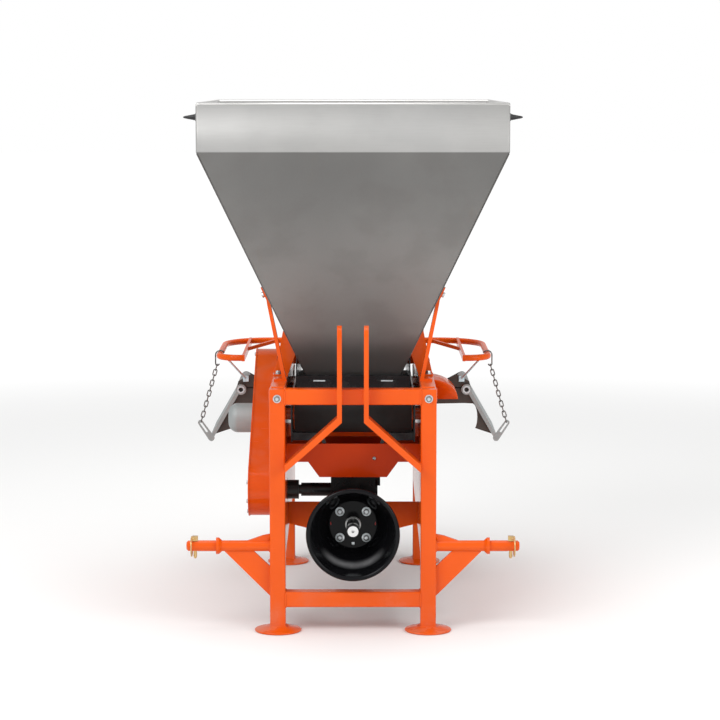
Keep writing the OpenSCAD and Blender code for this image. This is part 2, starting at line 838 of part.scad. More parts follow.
// Cap over the free end of the cross shaft, with a breather block
module gearbox_cap() {
    color(black) in_place() union() {
        translate([gear_w / 2, case_y, cross_z]) rod_x(31, 6);
        translate([gear_w / 2, case_y - 14, cross_z + 12]) cube([13, 28, 28]);
    }
}

// Rings of the four gearbox bearings
module gearbox_bearings() {
    color(steel) in_place() {
        for (y = [gear_front + 3, gear_rear - 18]) translate([0, y, input_z]) difference() {
            rod_y(30, 15);
            translate([0, -1, 0]) rod_y(seat_d / 2 + run, 17);
        }
        both_sides() translate([gear_w / 2 - 14, case_y, cross_z]) difference() {
            rod_x(24, 14);
            translate([-1, 0, 0]) rod_x(cross_d / 2 + run, 16);
        }
    }
}

// Splined input shaft, which goes on to the spinner gearbox
module input_shaft() {
    nose_y = 22;
    undercut = 2;
    spline_end = gear_front - 8;
    seat_y = spline_end + undercut;
    tail_y = disc_y - bevel_near - 2;
    color(steel) in_place() translate([0, 0, input_z]) difference() {
        union() {
            translate([0, nose_y, 0]) rotate([-90, 0, 0]) cylinder(d1 = 28, d2 = input_d, h = 4);
            translate([0, nose_y + 4, 0]) rod_y(input_d / 2, spline_end - nose_y - 4);
            translate([0, spline_end - 1, 0]) rod_y(input_d / 2 - 1, undercut + 2);
            translate([0, seat_y, 0]) rod_y(seat_d / 2, gear_rear + 12 - seat_y);
            translate([0, gear_rear + 12, 0]) rod_y(20, 60);
            translate([0, gear_rear + 12, 0]) rod_y(bevel_shaft_r, tail_y - gear_rear - 12);
        }
        for (i = [0:5]) rotate([0, i * 60, 0])
            translate([-1.8, nose_y - 1, input_d / 2 - 2.5]) cube([3.6, spline_end - nose_y + 2, 5]);
        translate([0, nose_y - 1, 0]) rod_y(3.5, 9);
        translate([0, nose_y + 24, 0]) rotate_extrude_y(input_d / 2, 3);
    }
}

// Ring groove round a Y axis
module rotate_extrude_y(r, w) {
    rotate([-90, 0, 0]) rotate_extrude() translate([r, 0]) circle(w, $fn = 24);
}

module worm() {
    color(steel) in_place() translate([0, 0, input_z]) difference() {
        translate([0, case_y - 36, 0]) rod_y(worm_r, 72);
        translate([0, case_y - 37, 0]) rod_y(seat_d / 2, 74);
    }
}

module worm_wheel() {
    color(brass) in_place() translate([-15, case_y, cross_z]) difference() {
        rod_x(wheel_r, 30);
        translate([-1, 0, 0]) rod_x(cross_d / 2, 32);
    }
}

// Cross shaft with its coupling hub, from the gearbox to the chain case
module cross_shaft() {
    hub = [-case_in + 13, -tube_end - 6];
    color(black) in_place() translate([0, case_y, cross_z]) union() {
        translate([-chain_x - 12, 0, 0]) rod_x(cross_d / 2, chain_x + 12 + gear_w / 2 - 1);
        translate([hub[0], 0, 0]) rod_x(25, hub[1] - hub[0]);
    }
}

// Fixed tube round the cross shaft at the gearbox
module cross_shaft_tube() {
    color(black) in_place() translate([-tube_end, case_y, cross_z]) difference() {
        rod_x(17.5, tube_end - gear_w / 2);
        translate([-1, 0, 0]) rod_x(14, tube_end);
    }
}

// Guard cup round the splined shaft, open to the tractor
module guard_cup() {
    t = 4;
    base = gear_front;
    mouth = cup_d / 2;
    color(black) in_place() translate([0, base, input_z]) rotate([90, 0, 0]) difference() {
        rotate_extrude($fn = 96) difference() {
            union() {
                square([cup_base_r, t]);
                polygon([
                    [cup_base_r - t, 0], [cup_base_r + t, 0], [mouth - 26, 46],
                    [mouth - 12, 80], [mouth - 4, cup_l - 8], [mouth - 4 - t, cup_l - 8],
                    [mouth - 12 - t, 82], [mouth - 26 - t, 50], [cup_base_r, t], [cup_base_r - t, t]
                ]);
                translate([mouth - 6, cup_l - 6]) circle(6, $fn = 24);
            }
            translate([-1, -1]) square([22, 20]);
        }
        for (x = [-1, 1]) for (z = [-1, 1]) translate([x, z, 0] * cup_bolt)
            translate([0, 0, -1]) cylinder(r = bolt_r + bolt_gap, h = t + 2);
    }
}

module guard_cup_bolts() {
    color(steel) in_place() for (x = [-1, 1]) for (z = [-1, 1])
        translate([x * cup_bolt, gear_front - 4, input_z + z * cup_bolt]) rotate([90, 0, 0])
            union() {
                cylinder(d = 24, h = 2);
                translate([0, 0, 1.9]) cylinder(d = 17, h = 7, $fn = 6);
                translate([0, 0, -14]) cylinder(r = bolt_r, h = 15);
            }
}

// Flat outline of the chain case, shrunk by an amount
module case_outline(shrink) {
    belt_outline([case_y, cross_z], case_small_r - shrink, [drum_y, drum_z], case_large_r - shrink);
}

// Inner half of the chain case: a wall towards the frame and the rim round it
module chain_case() {
    t = 3;
    color(orange) in_place() difference() {
        sideways(-case_out + 4, case_w - 4) case_outline(2);
        sideways(-case_out + 3, case_w - 4 - t + 1) case_outline(2 + t);
        translate([-case_in - t - 1, case_y, cross_z]) rod_x(cross_d / 2 + 2, t + 2);
        translate([-case_in - t - 1, drum_y, drum_z]) rod_x(drum_shaft_d / 2 + 3, t + 2);
    }
}

module chain_case_cover() {
    color(orange) in_place() difference() {
        sideways(-case_out, 4) case_outline(0);
        for (p = case_screw_places) translate([-case_out - 1, p[0], p[1]]) rod_x(2.6, 6);
    }
}

module case_screws() {
    color(steel) in_place() for (p = case_screw_places)
        translate([-case_out, p[0], p[1]]) union() {
            translate([-4, 0, 0]) rod_x(5, 4);
            rod_x(2.5, 4);
        }
}

// Chain wheel with a hub; its rim lies inside the chain
module sprocket(rim, bore, w) {
    difference() {
        union() {
            translate([-w / 2, 0, 0]) rod_x(rim, w);
            translate([-w / 2 - 4, 0, 0]) rod_x(bore + 9, w + 8);
        }
        translate([-w, 0, 0]) rod_x(bore, 2 * w);
        if (rim > 60) for (a = [0:60:300]) rotate([a, 0, 0])
            translate([-w, rim * 0.6, 0]) rod_x(rim * 0.18, 2 * w);
    }
}

module small_sprocket() {
    color(dull_steel) in_place() translate([-chain_x, case_y, cross_z])
        sprocket(pitch_small - chain_half - gap, cross_d / 2, 14);
}

module large_sprocket() {
    color(dull_steel) in_place() translate([-chain_x, drum_y, drum_z])
        sprocket(pitch_large - chain_half - gap, drum_shaft_d / 2, 14);
}

module drive_chain() {
    color(dull_steel) in_place() sideways(-chain_x - chain_w / 2, chain_w) difference() {
        belt_outline([case_y, cross_z], pitch_small + chain_half,
            [drum_y, drum_z], pitch_large + chain_half);
        belt_outline([case_y, cross_z], pitch_small - chain_half,
            [drum_y, drum_z], pitch_large - chain_half);
    }
}

// Round cap on the outer face of the chain case, over the chain tensioner
module tensioner_cap() {
    r = 40;
    l = 66;
    edge = 12;
    color(steel) in_place()
        translate([-case_out, case_y + 250, cross_z + 155]) rotate([0, -90, 0])
            rotate_extrude() union() {
                square([r, l - edge]);
                square([r - edge, l]);
                translate([r - edge, l - edge]) circle(edge);
            }
}

// Bent guard over the right end of the rear drum shaft
module shaft_end_guard() {
    t = 3;
    r = 80;
    w = 140;
    low = 517;
    top = rail_under + 8;
    rise = (top - low + 22) / r;
    color(orange) in_place() translate([0, drum_y, 0]) difference() {
        upright(-w / 2, w) intersection() {
            translate([leg_out, low]) square([r, top - low]);
            translate([leg_out, low]) scale([1, rise]) circle(r);
        }
        upright(-w / 2 + t, w - 2 * t) intersection() {
            translate([leg_out - 1, low - 1]) square([r, top - low - t + 1]);
            translate([leg_out, low - t]) scale([1, rise]) circle(r - t);
        }
    }
}

// Sloped slide from the belt end to the disc, between two cheeks
module chute() {
    t = 3;
    front = drum_y + 52;
    rear = rear_front - 12;
    high = drum_z + 20;
    low = disc_z + 50;
    color(dull_steel) in_place() union() {
        both_sides() sideways(panel_in - t, t) polygon([
            [front, high], [rear, low], [rear, rail_under], [front + 30, rail_under],
            [front, high + 20]
        ]);
        sideways(-panel_in, inner_w) polygon([
            [front, high], [rear, low], [rear, low + t * 1.3], [front, high + t * 1.3]
        ]);
    }
}

// Housing of the bevel gears under the disc
module spinner_gearbox() {
    wall = 8;
    color(black) in_place() translate([0, disc_y, 0]) difference() {
        union() {
            translate([0, 0, spin_low]) block(spin_w, spin_w, spin_w);
            translate([0, 0, spin_high]) cylinder(r = 32, h = 30);
        }
        translate([0, 0, spin_low + wall])
            block(spin_w - 2 * wall, spin_w - 2 * wall, spin_w - 2 * wall);
        translate([0, -spin_w / 2 - 1, input_z]) rod_y(bevel_shaft_r + run, 20);
        translate([0, 0, spin_high - 10]) cylinder(r = bevel_shaft_r + run, h = 50);
    }
}

module bevel_pinion() {
    color(dull_steel) in_place() translate([0, disc_y - bevel_far, input_z]) rotate([-90, 0, 0])
        difference() {
            cylinder(r1 = bevel_far - gap, r2 = bevel_near - gap, h = bevel_far - bevel_near);
            translate([0, 0, -1]) cylinder(r = bevel_shaft_r, h = bevel_far);
        }
}

module spinner_shaft() {
    color(steel) in_place() translate([0, disc_y, 0]) union() {
        translate([0, 0, input_z + bevel_near])
            cylinder(r1 = bevel_near - gap, r2 = bevel_far - gap, h = bevel_far - bevel_near);
        translate([0, 0, input_z + bevel_near + 1])
            cylinder(r = bevel_shaft_r, h = disc_z - input_z - bevel_near - 1);
    }
}

// Dished disc with four throwing vanes
module spinner_disc() {
    vane_h = 30;
    color(steel) in_place() translate([0, disc_y, disc_z]) union() {
        cylinder(d = disc_d, h = 3, $fn = 96);
        cylinder(r = 24, h = 9);
        for (a = [15:90:285]) rotate(a) translate([30, -1.5, 2.9]) cube([disc_d / 2 - 34, 3, vane_h]);
        for (a = [15:90:285]) rotate(a) translate([30, -1.5, vane_h]) cube([disc_d / 2 - 34, 14, 2.9]);
    }
}

// Sheet wings outside the side panels: arched front plate, roof and rear arm
module hood_wings() {
    t = 3;
    edge = flap_near - 0.5;
    arch = 32;
    leg_low = flap_at(flap_l - 8, edge);
    arch_top = [hinge_x - 7, hinge_z - 35];
    color(dull_steel) in_place() both_sides() difference() {
        union() {
            upright(wing_y, t) difference() {
                union() {
                    polygon([
                        [panel_out, hinge_z - 35], arch_top, [leg_low[0] - 42, leg_low[1] + 20],
                        leg_low, flap_at(14, edge), [hinge_x + 8, wing_roof - 22],
                        [hinge_x - 29, wing_roof], [panel_out, wing_roof]
                    ]);
                    translate(hinge_at) circle(14);
                }
                translate([leg_low[0] - 42 - arch, leg_low[1] + 52]) circle(arch);
            }
            translate([panel_out, wing_y, hinge_z - 35]) cube([t, 40, 80]);
            upright(wing_y, wing_rear - wing_y) polygon([
                [leg_out, wing_roof - t], [hinge_x - 30, wing_roof - t],
                [hinge_x - 6, wing_roof - 26], [hinge_x - 2, wing_roof - 24],
                [hinge_x - 29, wing_roof], [leg_out, wing_roof]
            ]);
            upright(wing_rear - t, t) union() {
                polygon([
                    [hinge_x - 60, wing_roof], [hinge_x - 29, wing_roof],
                    [hinge_x + 10, hinge_z + 6], [hinge_x - 12, hinge_z - 6]
                ]);
                translate(hinge_at) circle(14);
            }
            translate([leg_out, wing_y, wing_roof - t]) cube([40, 65, t]);
        }
        translate([hinge_x, wing_y - 1, hinge_z]) rod_y(hinge_tube_r, wing_rear - wing_y + 2);
    }
}

// Fixed tubes that the flaps turn on
module hinge_tubes() {
    color(steel) in_place() both_sides() translate([hinge_x, wing_y - 16, hinge_z]) difference() {
        rod_y(hinge_tube_r, wing_rear - wing_y + 22);
        translate([0, -1, 0]) rod_y(6.5, wing_rear - wing_y + 24);
    }
}

// Hinged side flap with its barrel, front flange and chain lug
module flap() {
    rear = wing_rear - 12;
    color(steel) in_place() difference() {
        union() {
            upright(lug_y, lug_t) polygon([
                flap_at(8, -1), flap_at(flap_l, -1), flap_at(flap_l, flap_near + flap_t),
                flap_at(8, flap_near + flap_t)
            ]);
            upright(lug_y, rear - lug_y) polygon([
                flap_at(17, flap_near), flap_at(flap_l, flap_near),
                flap_at(flap_l, flap_near + flap_t), flap_at(17, flap_near + flap_t)
            ]);
            translate([hinge_x, lug_y, hinge_z]) rod_y(barrel_r, 13.5);
            translate([hinge_x, wing_y + 8, hinge_z]) rod_y(barrel_r, rear - wing_y - 12);
            upright(wing_y + 8, rear - wing_y - 12) polygon([
                flap_at(8, flap_near), flap_at(18, flap_near), flap_at(18, flap_near + flap_t),
                flap_at(8, flap_near + flap_t)
            ]);
            upright(lug_y, lug_t) belt_outline(lug_low, 9, lug_end, 7.5);
        }
        translate([hinge_x, lug_y - 1, hinge_z]) rod_y(hinge_tube_r + 0.1, rear);
        upright(lug_y - 1, lug_t + 2)
            belt_outline(lug_low + lug_way * 24, slot_r, slot_end, slot_r);
        translate([slot_end[0], lug_y - 1, slot_end[1]]) rod_y(slot_r + 0.2, lug_t + 2);
    }
}

module right_flap() { flap(); }
module left_flap() { mirror([1, 0, 0]) flap(); }

// One oval link round the Z axis, in the plane of X and Z
module chain_link() {
    r = 4.7;
    reach = (chain_pitch + chain_wire + gap) / 2 - r;
    lap = 0.02;
    w = chain_wire / 2;
    union() {
        for (s = [-1, 1]) translate([0, 0, s * reach]) rotate([90, s > 0 ? 0 : 180, 0])
            rotate_extrude(angle = 180) translate([r, 0]) circle(w, $fn = 16);
        for (s = [-1, 1]) translate([s * r, 0, -reach - lap])
            cylinder(r = w, h = 2 * (reach + lap), $fn = 16);
    }
}

module chain() {
    hook_z = guard_z + guard_r + gap + hook_wire - hook_r;
    lap = 0.02;
    color(dull_steel) in_place() {
        for (i = [0:chain_links - 1]) {
            p = chain_low + chain_way * chain_pitch * (i + 0.5);
            translate([p[0], lug_y + lug_t / 2, p[1]]) rotate([0, chain_turn, 0])
                rotate([0, 0, i % 2 == 0 ? 90 : 0]) chain_link();
        }
        translate([guard_x, lug_y + lug_t / 2, 0]) union() {
            translate([0, 0, hook_z]) rotate([90, 0, 0]) rotate_extrude(angle = 150)
                translate([hook_r, 0]) circle(hook_wire, $fn = 20);
            translate([hook_r, 0, hook_eye[1] - lap])
                cylinder(r = hook_wire, h = hook_z - hook_eye[1] + 2 * lap, $fn = 20);
            translate([hook_r - hook_eye_r, 0, hook_eye[1]]) rotate([90, 0, 0]) rotate([0, 0, 180])
                rotate_extrude(angle = 180) translate([hook_eye_r, 0])
                    circle(hook_wire, $fn = 20);
        }
    }
}

module right_chain() { chain(); }
module left_chain() { mirror([1, 0, 0]) chain(); }

// Bent guard tube round the rear with its flat bars, arms and stay rods
module guard_frame() {
    bar = [8, 18];
    bend_y = guard_rear - guard_bend;
    nose_y = guard_front + guard_nose;
    module tube_path() {
        translate([-guard_x + guard_bend, guard_rear, guard_z])
            rod_x(guard_r, 2 * (guard_x - guard_bend));
        both_sides() {
            translate([guard_x - guard_bend, bend_y, guard_z])
                rotate_extrude(angle = 90) translate([guard_bend, 0]) circle(guard_r);
            translate([guard_x, nose_y, guard_z]) rod_y(guard_r, bend_y - nose_y);
            translate([guard_x - guard_nose, nose_y, guard_z]) rotate(-90)
                rotate_extrude(angle = 90) translate([guard_nose, 0]) circle(guard_r);
            translate([guard_bar_x + bar[0] - 4, guard_front, guard_z])
                rod_x(guard_r, guard_x - guard_nose - guard_bar_x - bar[0] + 4);
        }
    }
    color(orange) in_place() union() {
        tube_path();
        both_sides() {
            translate([guard_bar_x, guard_front - 9, guard_z - bar[1] / 2])
                cube([bar[0], guard_rear - guard_front + 9, bar[1]]);
            translate([leg_x - 12, rear_y + tube_w / 2, guard_z - 27])
                cube([24, guard_rear - rear_y - tube_w / 2, 24]);
            translate([0, 0, guard_z - 5]) linear_extrude(10) polygon([
                [guard_bar_x + 2, disc_y - 60], [guard_bar_x + 2, disc_y - 48],
                [leg_x + 44, guard_rear], [leg_x + 34, guard_rear]
            ]);
            stay_rod([guard_bar_x + 46, guard_front + 9, guard_z - guard_r + 1],
                [hinge_x - 14, wing_y - 2, wing_roof - 15]);
            translate([hinge_x - 22, wing_y - 6, wing_roof - 23]) cube([16, 6, 16]);
        }
    }
}

// Thin round rod between two points
module stay_rod(p, q) {
    way = q - p;
    l = norm(way);
    translate(p) rotate([0, acos(way[2] / l), atan2(way[1], way[0])]) cylinder(r = 3, h = l);
}

front_legs();
rear_legs();
feet();
front_crossbars();
rear_crossbar();
side_rails();
side_panels();
mid_cross_plate();
rear_cross_plate();
gearbox_pan();
mast_plates();
hitch_pins();
hitch_gussets();
left_linchpin();
right_linchpin();
left_linchpin_ring();
right_linchpin_ring();
frame_bolts();
hopper();
tarp_hooks();
hopper_struts();
hopper_brackets();
hopper_bolts();
outlet_box();
gate();
conveyor_sides();
belt();
front_drum();
rear_drum();
drum_bearings();
gearbox_housing();
gearbox_cap();
gearbox_bearings();
input_shaft();
worm();
worm_wheel();
cross_shaft();
cross_shaft_tube();
guard_cup();
guard_cup_bolts();
chain_case();
chain_case_cover();
case_screws();
small_sprocket();
large_sprocket();
drive_chain();
tensioner_cap();
shaft_end_guard();
chute();
spinner_gearbox();
bevel_pinion();
spinner_shaft();
spinner_disc();
hood_wings();
left_flap();
right_flap();
left_chain();
right_chain();
guard_frame();
hinge_tubes();
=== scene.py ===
"""Fertilizer spreader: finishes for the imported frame, and the pieces that stand in for its nodes or join them."""
import logging
import math
from dataclasses import dataclass, field
from enum import Enum
from typing import Any, ClassVar, Mapping, Sequence

import bmesh
import bpy
from mathutils import Matrix, Vector

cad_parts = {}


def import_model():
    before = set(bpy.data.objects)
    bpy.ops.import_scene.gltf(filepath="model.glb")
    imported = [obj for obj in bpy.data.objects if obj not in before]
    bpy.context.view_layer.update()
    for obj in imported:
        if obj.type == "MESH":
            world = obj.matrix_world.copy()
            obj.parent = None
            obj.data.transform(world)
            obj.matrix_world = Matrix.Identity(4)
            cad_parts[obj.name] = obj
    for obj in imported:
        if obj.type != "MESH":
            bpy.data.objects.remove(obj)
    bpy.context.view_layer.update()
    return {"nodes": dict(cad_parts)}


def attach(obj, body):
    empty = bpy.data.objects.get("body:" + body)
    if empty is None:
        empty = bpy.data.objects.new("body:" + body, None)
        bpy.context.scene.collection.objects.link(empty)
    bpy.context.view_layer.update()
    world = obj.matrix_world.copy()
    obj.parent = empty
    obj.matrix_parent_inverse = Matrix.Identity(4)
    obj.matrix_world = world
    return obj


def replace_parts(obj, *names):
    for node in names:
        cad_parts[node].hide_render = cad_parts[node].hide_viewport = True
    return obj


LOG = logging.getLogger("spreader")
BMesh, BMEdge, BMVert = bmesh.types.BMesh, bmesh.types.BMEdge, bmesh.types.BMVert
Material, Object = bpy.types.Material, bpy.types.Object
Point = tuple[float, float, float]
Color = tuple[float, float, float]

# How far the front face of the front legs lies before the origin
MID_Y = 0.5745


def at(x: float, y: float, z: float) -> Vector:
    """Turns a place measured in millimetres from the front of the frame into the model's metres.

    Args:
        x: distance to the right of the middle.
        y: distance behind the front face of the front legs.
        z: height above the ground.

    Returns:
        The same place in metres round the origin.
    """
    return Vector((x / 1000, y / 1000 - MID_Y, z / 1000))


def linked(name: str, data: bpy.types.ID) -> Object:
    """Puts an object with some data into the scene.

    Args:
        name: the object's name.
        data: its mesh, camera or light.

    Returns:
        The object.
    """
    made = bpy.data.objects.new(name, data)
    bpy.context.scene.collection.objects.link(made)
    return made


def dim(color: Color, share: float) -> Color:
    """Gives a colour dimmed, or brightened, by a share."""
    return tuple(c * share for c in color)


class Sock:
    """A shader socket that takes part in Python arithmetic."""

    def __init__(self, graph: "Graph", socket: bpy.types.NodeSocket) -> None:
        """Keeps the socket and the graph that new nodes go into."""
        self.graph = graph
        self.socket = socket

    def _math(self, operation: str, first: Any, second: Any) -> "Sock":
        """Adds one Math node.

        Args:
            operation: the node's operation.
            first: the upper value or socket.
            second: the lower value or socket.

        Returns:
            The node's result.
        """
        return self.graph.sock("ShaderNodeMath", {"operation": operation}, {0: first, 1: second})

    def __add__(self, other: Any) -> "Sock":
        """Adds."""
        return self._math("ADD", self, other)

    __radd__ = __add__

    def __rsub__(self, other: Any) -> "Sock":
        """Subtracts this from other."""
        return self._math("SUBTRACT", other, self)

    def __mul__(self, other: Any) -> "Sock":
        """Multiplies."""
        return self._math("MULTIPLY", self, other)

    __rmul__ = __mul__

    def __pow__(self, other: Any) -> "Sock":
        """Raises this to a power."""
        return self._math("POWER", self, other)

    def ramp(self, low: float, high: float) -> "Sock":
        """Stretches this so that low becomes 0 and high becomes 1, with smooth ends.

        Args:
            low: the value that becomes 0.
            high: the value that becomes 1.

        Returns:
            The stretched value.
        """
        smooth = {"interpolation_type": "SMOOTHSTEP"}
        return self.graph.sock("ShaderNodeMapRange", smooth, {0: self, 1: low, 2: high})

    def part(self, axis: int) -> "Sock":
        """Gives one coordinate of a vector socket.

        Args:
            axis: 0, 1 or 2.

        Returns:
            That coordinate.
        """
        return self.graph.sock("ShaderNodeSeparateXYZ", {}, {0: self}, axis)


class Graph:
    """The node graph of one material."""

    def __init__(self, name: str) -> None:
        """Starts a material with a principled shader.

        Args:
            name: the material's name.
        """
        self.material = bpy.data.materials.new(name)
        self.material.use_nodes = True
        self.tree = self.material.node_tree
        self.tree.nodes.clear()
        self.shader = self.node("ShaderNodeBsdfPrincipled", {}, {})
        out = self.node("ShaderNodeOutputMaterial", {}, {})
        self.tree.links.new(self.shader.outputs[0], out.inputs[0])
        self.place = self.sock("ShaderNodeTexCoord", {}, {}, "Object")
        self.normal = self.sock("ShaderNodeNewGeometry", {}, {}, "Normal")

    def node(self, kind: str, settings: Mapping[str, Any], sockets: Mapping[int | str, Any]) -> bpy.types.Node:
        """Adds a node, sets it up, and then fills its sockets.

        Args:
            kind: the node's type.
            settings: its own settings.
            sockets: a value or a link for each socket, by number or name.

        Returns:
            The new node.
        """
        made = self.tree.nodes.new(kind)
        for key, value in settings.items():
            setattr(made, key, value)
        for key, value in sockets.items():
            if isinstance(value, Sock):
                self.tree.links.new(value.socket, made.inputs[key])
            else:
                made.inputs[key].default_value = value
        return made

    def sock(
        self, kind: str, settings: Mapping[str, Any], sockets: Mapping[int | str, Any], output: int | str = 0
    ) -> Sock:
        """Adds a node and gives its result.

        Args:
            kind: the node's type.
            settings: its own settings.
            sockets: a value or a link for each socket, by number or name.
            output: which of its outputs is the result, by number or name.

        Returns:
            The result.
        """
        return Sock(self, self.node(kind, settings, sockets).outputs[output])

    def noise(self, size: float, detail: float, scale: Point = (1, 1, 1), turn: Point = (0, 0, 0)) -> Sock:
        """Gives noise over the object's own coordinates.

        Args:
            size: the noise's scale.
            detail: its detail.
            scale: how much the coordinates are stretched along each axis.
            turn: a rotation of the coordinates, in radians.

        Returns:
            The noise, from 0 to 1.
        """
        place = self.sock("ShaderNodeMapping", {}, {0: self.place, 2: turn, 3: scale})
        return self.sock("ShaderNodeTexNoise", {}, {"Vector": place, "Scale": size, "Detail": detail})

    def cells(self, size: float) -> Sock:
        """Gives the distance to the nearest of scattered points.

        Args:
            size: how close together the points lie.

        Returns:
            The distance.
        """
        return self.sock("ShaderNodeTexVoronoi", {}, {"Vector": self.place, "Scale": size})

    def mix(self, amount: Any, first: Any, second: Any) -> Sock:
        """Mixes two colours.

        Args:
            amount: how much of the second shows.
            first: a colour or a link.
            second: a colour or a link.

        Returns:
            The mixed colour.
        """
        def full(value: Any) -> Any:
            """Gives a plain colour its fourth number."""
            return (*value, 1.0) if isinstance(value, tuple) else value

        return self.sock("ShaderNodeMix", {"data_type": "RGBA"}, {0: amount, 6: full(first), 7: full(second)}, 2)

    def bump(self, height: Sock, distance: float, strength: float = 1.0) -> Sock:
        """Turns a height into a shading normal.

        Args:
            height: the height, from 0 to 1.
            distance: how deep a height of 1 is, in metres.
            strength: how much of it shows.

        Returns:
            The normal.
        """
        return self.sock("ShaderNodeBump", {}, {"Height": height, "Distance": distance, "Strength": strength})

    def finish(self, **sockets: Any) -> Material:
        """Fills the shader's sockets.

        Args:
            sockets: values or links, named as the sockets are, with _ for a space.

        Returns:
            The finished material.
        """
        for key, value in sockets.items():
            socket = self.shader.inputs[key.replace("_", " ")]
            if isinstance(value, Sock):
                self.tree.links.new(value.socket, socket)
            else:
                socket.default_value = (*value, 1.0) if isinstance(value, tuple) else value
        return self.material


@dataclass(frozen=True)
class Finish:
    """A surface finish that makes its own material."""

    name: str

    def make(self) -> Material:
        """Builds the material.

        Returns:
            The material.
        """
        raise NotImplementedError


@dataclass(frozen=True)
class Paint(Finish):
    """Sprayed gloss paint on steel, with faint dust low down and on top, and a few fine rubs."""

    color: Color = (0.76, 0.098, 0.005)
    deep: Color = (0.62, 0.068, 0.003)
    dust: Color = (0.42, 0.33, 0.25)
    rough: float = 0.2
    peel: float = 0.00012
    dusty: float = 0.35
    coat: float = 0.16
    shine: float = 0.16

    def make(self) -> Material:
        """Builds the paint.

        Returns:
            The material.
        """
        g, tone, patch, up = self.base()
        speck = g.noise(900.0, 2.0).ramp(0.35, 0.8)
        low = g.place.part(2).ramp(0.16, 0.0)
        settled = (low * 0.55 + up * 0.35) * patch * self.dusty
        rubs = g.noise(3.0, 3.0, (6, 90, 90), (0.3, 0.5, 0.2)).ramp(0.67, 0.74) * 0.18
        paint = g.mix(tone * 0.55 + speck * 0.12, self.color, self.deep)
        return g.finish(
            Base_Color=g.mix(settled, paint, self.dust),
            Roughness=self.rough + tone * 0.06 + settled * 0.5 + rubs,
            Normal=g.bump(g.noise(260.0, 2.0), self.peel),
            Coat_Weight=self.coat,
            Coat_Roughness=0.08,
            Specular_IOR_Level=self.shine,
        )

    def base(self) -> tuple[Graph, Sock, Sock, Sock]:
        """Starts the paint.

        Returns:
            Its graph, its slow change of tone, its patches of dust, and how far a face looks up.
        """
        g = Graph(self.name)
        tone = g.noise(5.0, 5.0).ramp(0.3, 0.75)
        return g, tone, g.noise(14.0, 7.0).ramp(0.42, 0.72), g.normal.part(2).ramp(0.55, 1.0)


class Grain(Enum):
    """The way that the brushing of a sheet runs."""

    UPRIGHT = (240.0, 240.0, 5.0)
    ACROSS = (5.0, 240.0, 240.0)


@dataclass(frozen=True)
class Sheet(Finish):
    """Stainless sheet, brushed one way, with cloudy patches and faint rub marks."""

    color: Color
    cloud: Color
    rough: float = 0.34
    grain: Grain = Grain.UPRIGHT
    stain: float = 0.3
    metal: float = 0.92

    def make(self) -> Material:
        """Builds the sheet.

        Returns:
            The material.
        """
        g = Graph(self.name)
        brushed = g.noise(4.0, 5.0, self.grain.value)
        cloud = g.noise(3.2, 6.0).ramp(0.35, 0.72)
        streak = g.noise(4.0, 4.0, (9, 9, 0.9)).ramp(0.5, 0.8)
        smear = g.noise(22.0, 5.0).ramp(0.5, 0.85)
        shade = g.mix(cloud * 0.7 + brushed * 0.25, self.color, self.cloud)
        brown = tuple(c * k for c, k in zip(self.cloud, (0.82, 0.72, 0.6)))
        shade = g.mix(streak * smear * self.stain, shade, brown)
        return g.finish(
            Base_Color=shade,
            Metallic=self.metal,
            Roughness=self.rough + brushed * 0.12 + cloud * 0.07 + smear * 0.05,
            Normal=g.bump(brushed, 0.00005, 0.5),
        )


@dataclass(frozen=True)
class HopperSheet(Sheet):
    """Stainless sheet of the hopper: a bright band above a bend, and below it a wall in a darker copy of the same
    sheet, which is painted shade; the wall is painted lighter towards its foot, which is painted light, and near black
    at the foot itself, which is painted shade.
    """

    # Darker copy of the sheet for the sloped walls: painted shade.
    wall: Color = (0.168, 0.165, 0.159)
    run: Color = (0.2, 0.15, 0.105)
    # Near-black colour for the foot of the wall: painted shade.
    foot: Color = (0.06, 0.066, 0.067)
    smudge: Color = (0.10, 0.09, 0.083)
    rim_smudge: Color = (0.3, 0.3, 0.3)
    bend_z: float = 1.2263
    shade_foot_z: float = 0.765

    def make(self) -> Material:
        """Builds the sheet.

        Returns:
            The material.
        """
        g = Graph(self.name)
        height = g.place.part(2)
        upright = g.noise(4.0, 5.0, (210, 210, 3.5))
        across = g.noise(4.0, 5.0, (4, 200, 200))
        cloud = g.noise(2.6, 7.0, (1.0, 1.0, 0.7)).ramp(0.32, 0.72)
        spot = g.noise(11.0, 6.0).ramp(0.52, 0.8)
        run = g.noise(3.0, 4.0, (14, 14, 0.8)).ramp(0.52, 0.78)
        band = height.ramp(self.bend_z - 0.002, self.bend_z + 0.002)
        painted_light_fade = height.ramp(self.bend_z - 0.75, self.bend_z)
        # Painted shade: the wall below the bend takes the darker copy of the sheet, while the band above keeps the
        # bright one.
        wall = g.mix(cloud * 0.6 + upright * 0.25, self.wall, dim(self.wall, 0.72))
        # Painted light: the wall is made up to 2.7 times lighter towards its foot.
        wall = g.mix(painted_light_fade * -0.9 + 0.9, wall, dim(self.wall, 2.7))
        wall = g.mix(run * spot * 0.4, wall, self.run)
        # Painted shade: the wall turns near black towards its foot, below the foot height.
        foot = height.ramp(self.shade_foot_z, self.shade_foot_z - 0.075)
        wall = g.mix(foot * 0.65, wall, self.foot)
        smudge = g.noise(6.5, 8.0, (1, 1, 1.4)).ramp(0.46, 0.62)
        wall = g.mix(smudge * 0.16, wall, self.smudge)
        rim = g.mix(cloud * 0.35 + across * 0.3, self.color, self.cloud)
        rim = g.mix(smudge * 0.12, rim, self.rim_smudge)
        line = g.sock("ShaderNodeMix", {}, {0: band, 2: upright, 3: across})
        return g.finish(
            Base_Color=g.mix(band, wall, rim),
            Metallic=band * 0.5 + 0.4,
            Roughness=self.rough + cloud * 0.1 + line * 0.1 + spot * 0.04,
            Normal=g.bump(line * 0.6 + cloud * 0.4, 0.0001, 0.5),
        )


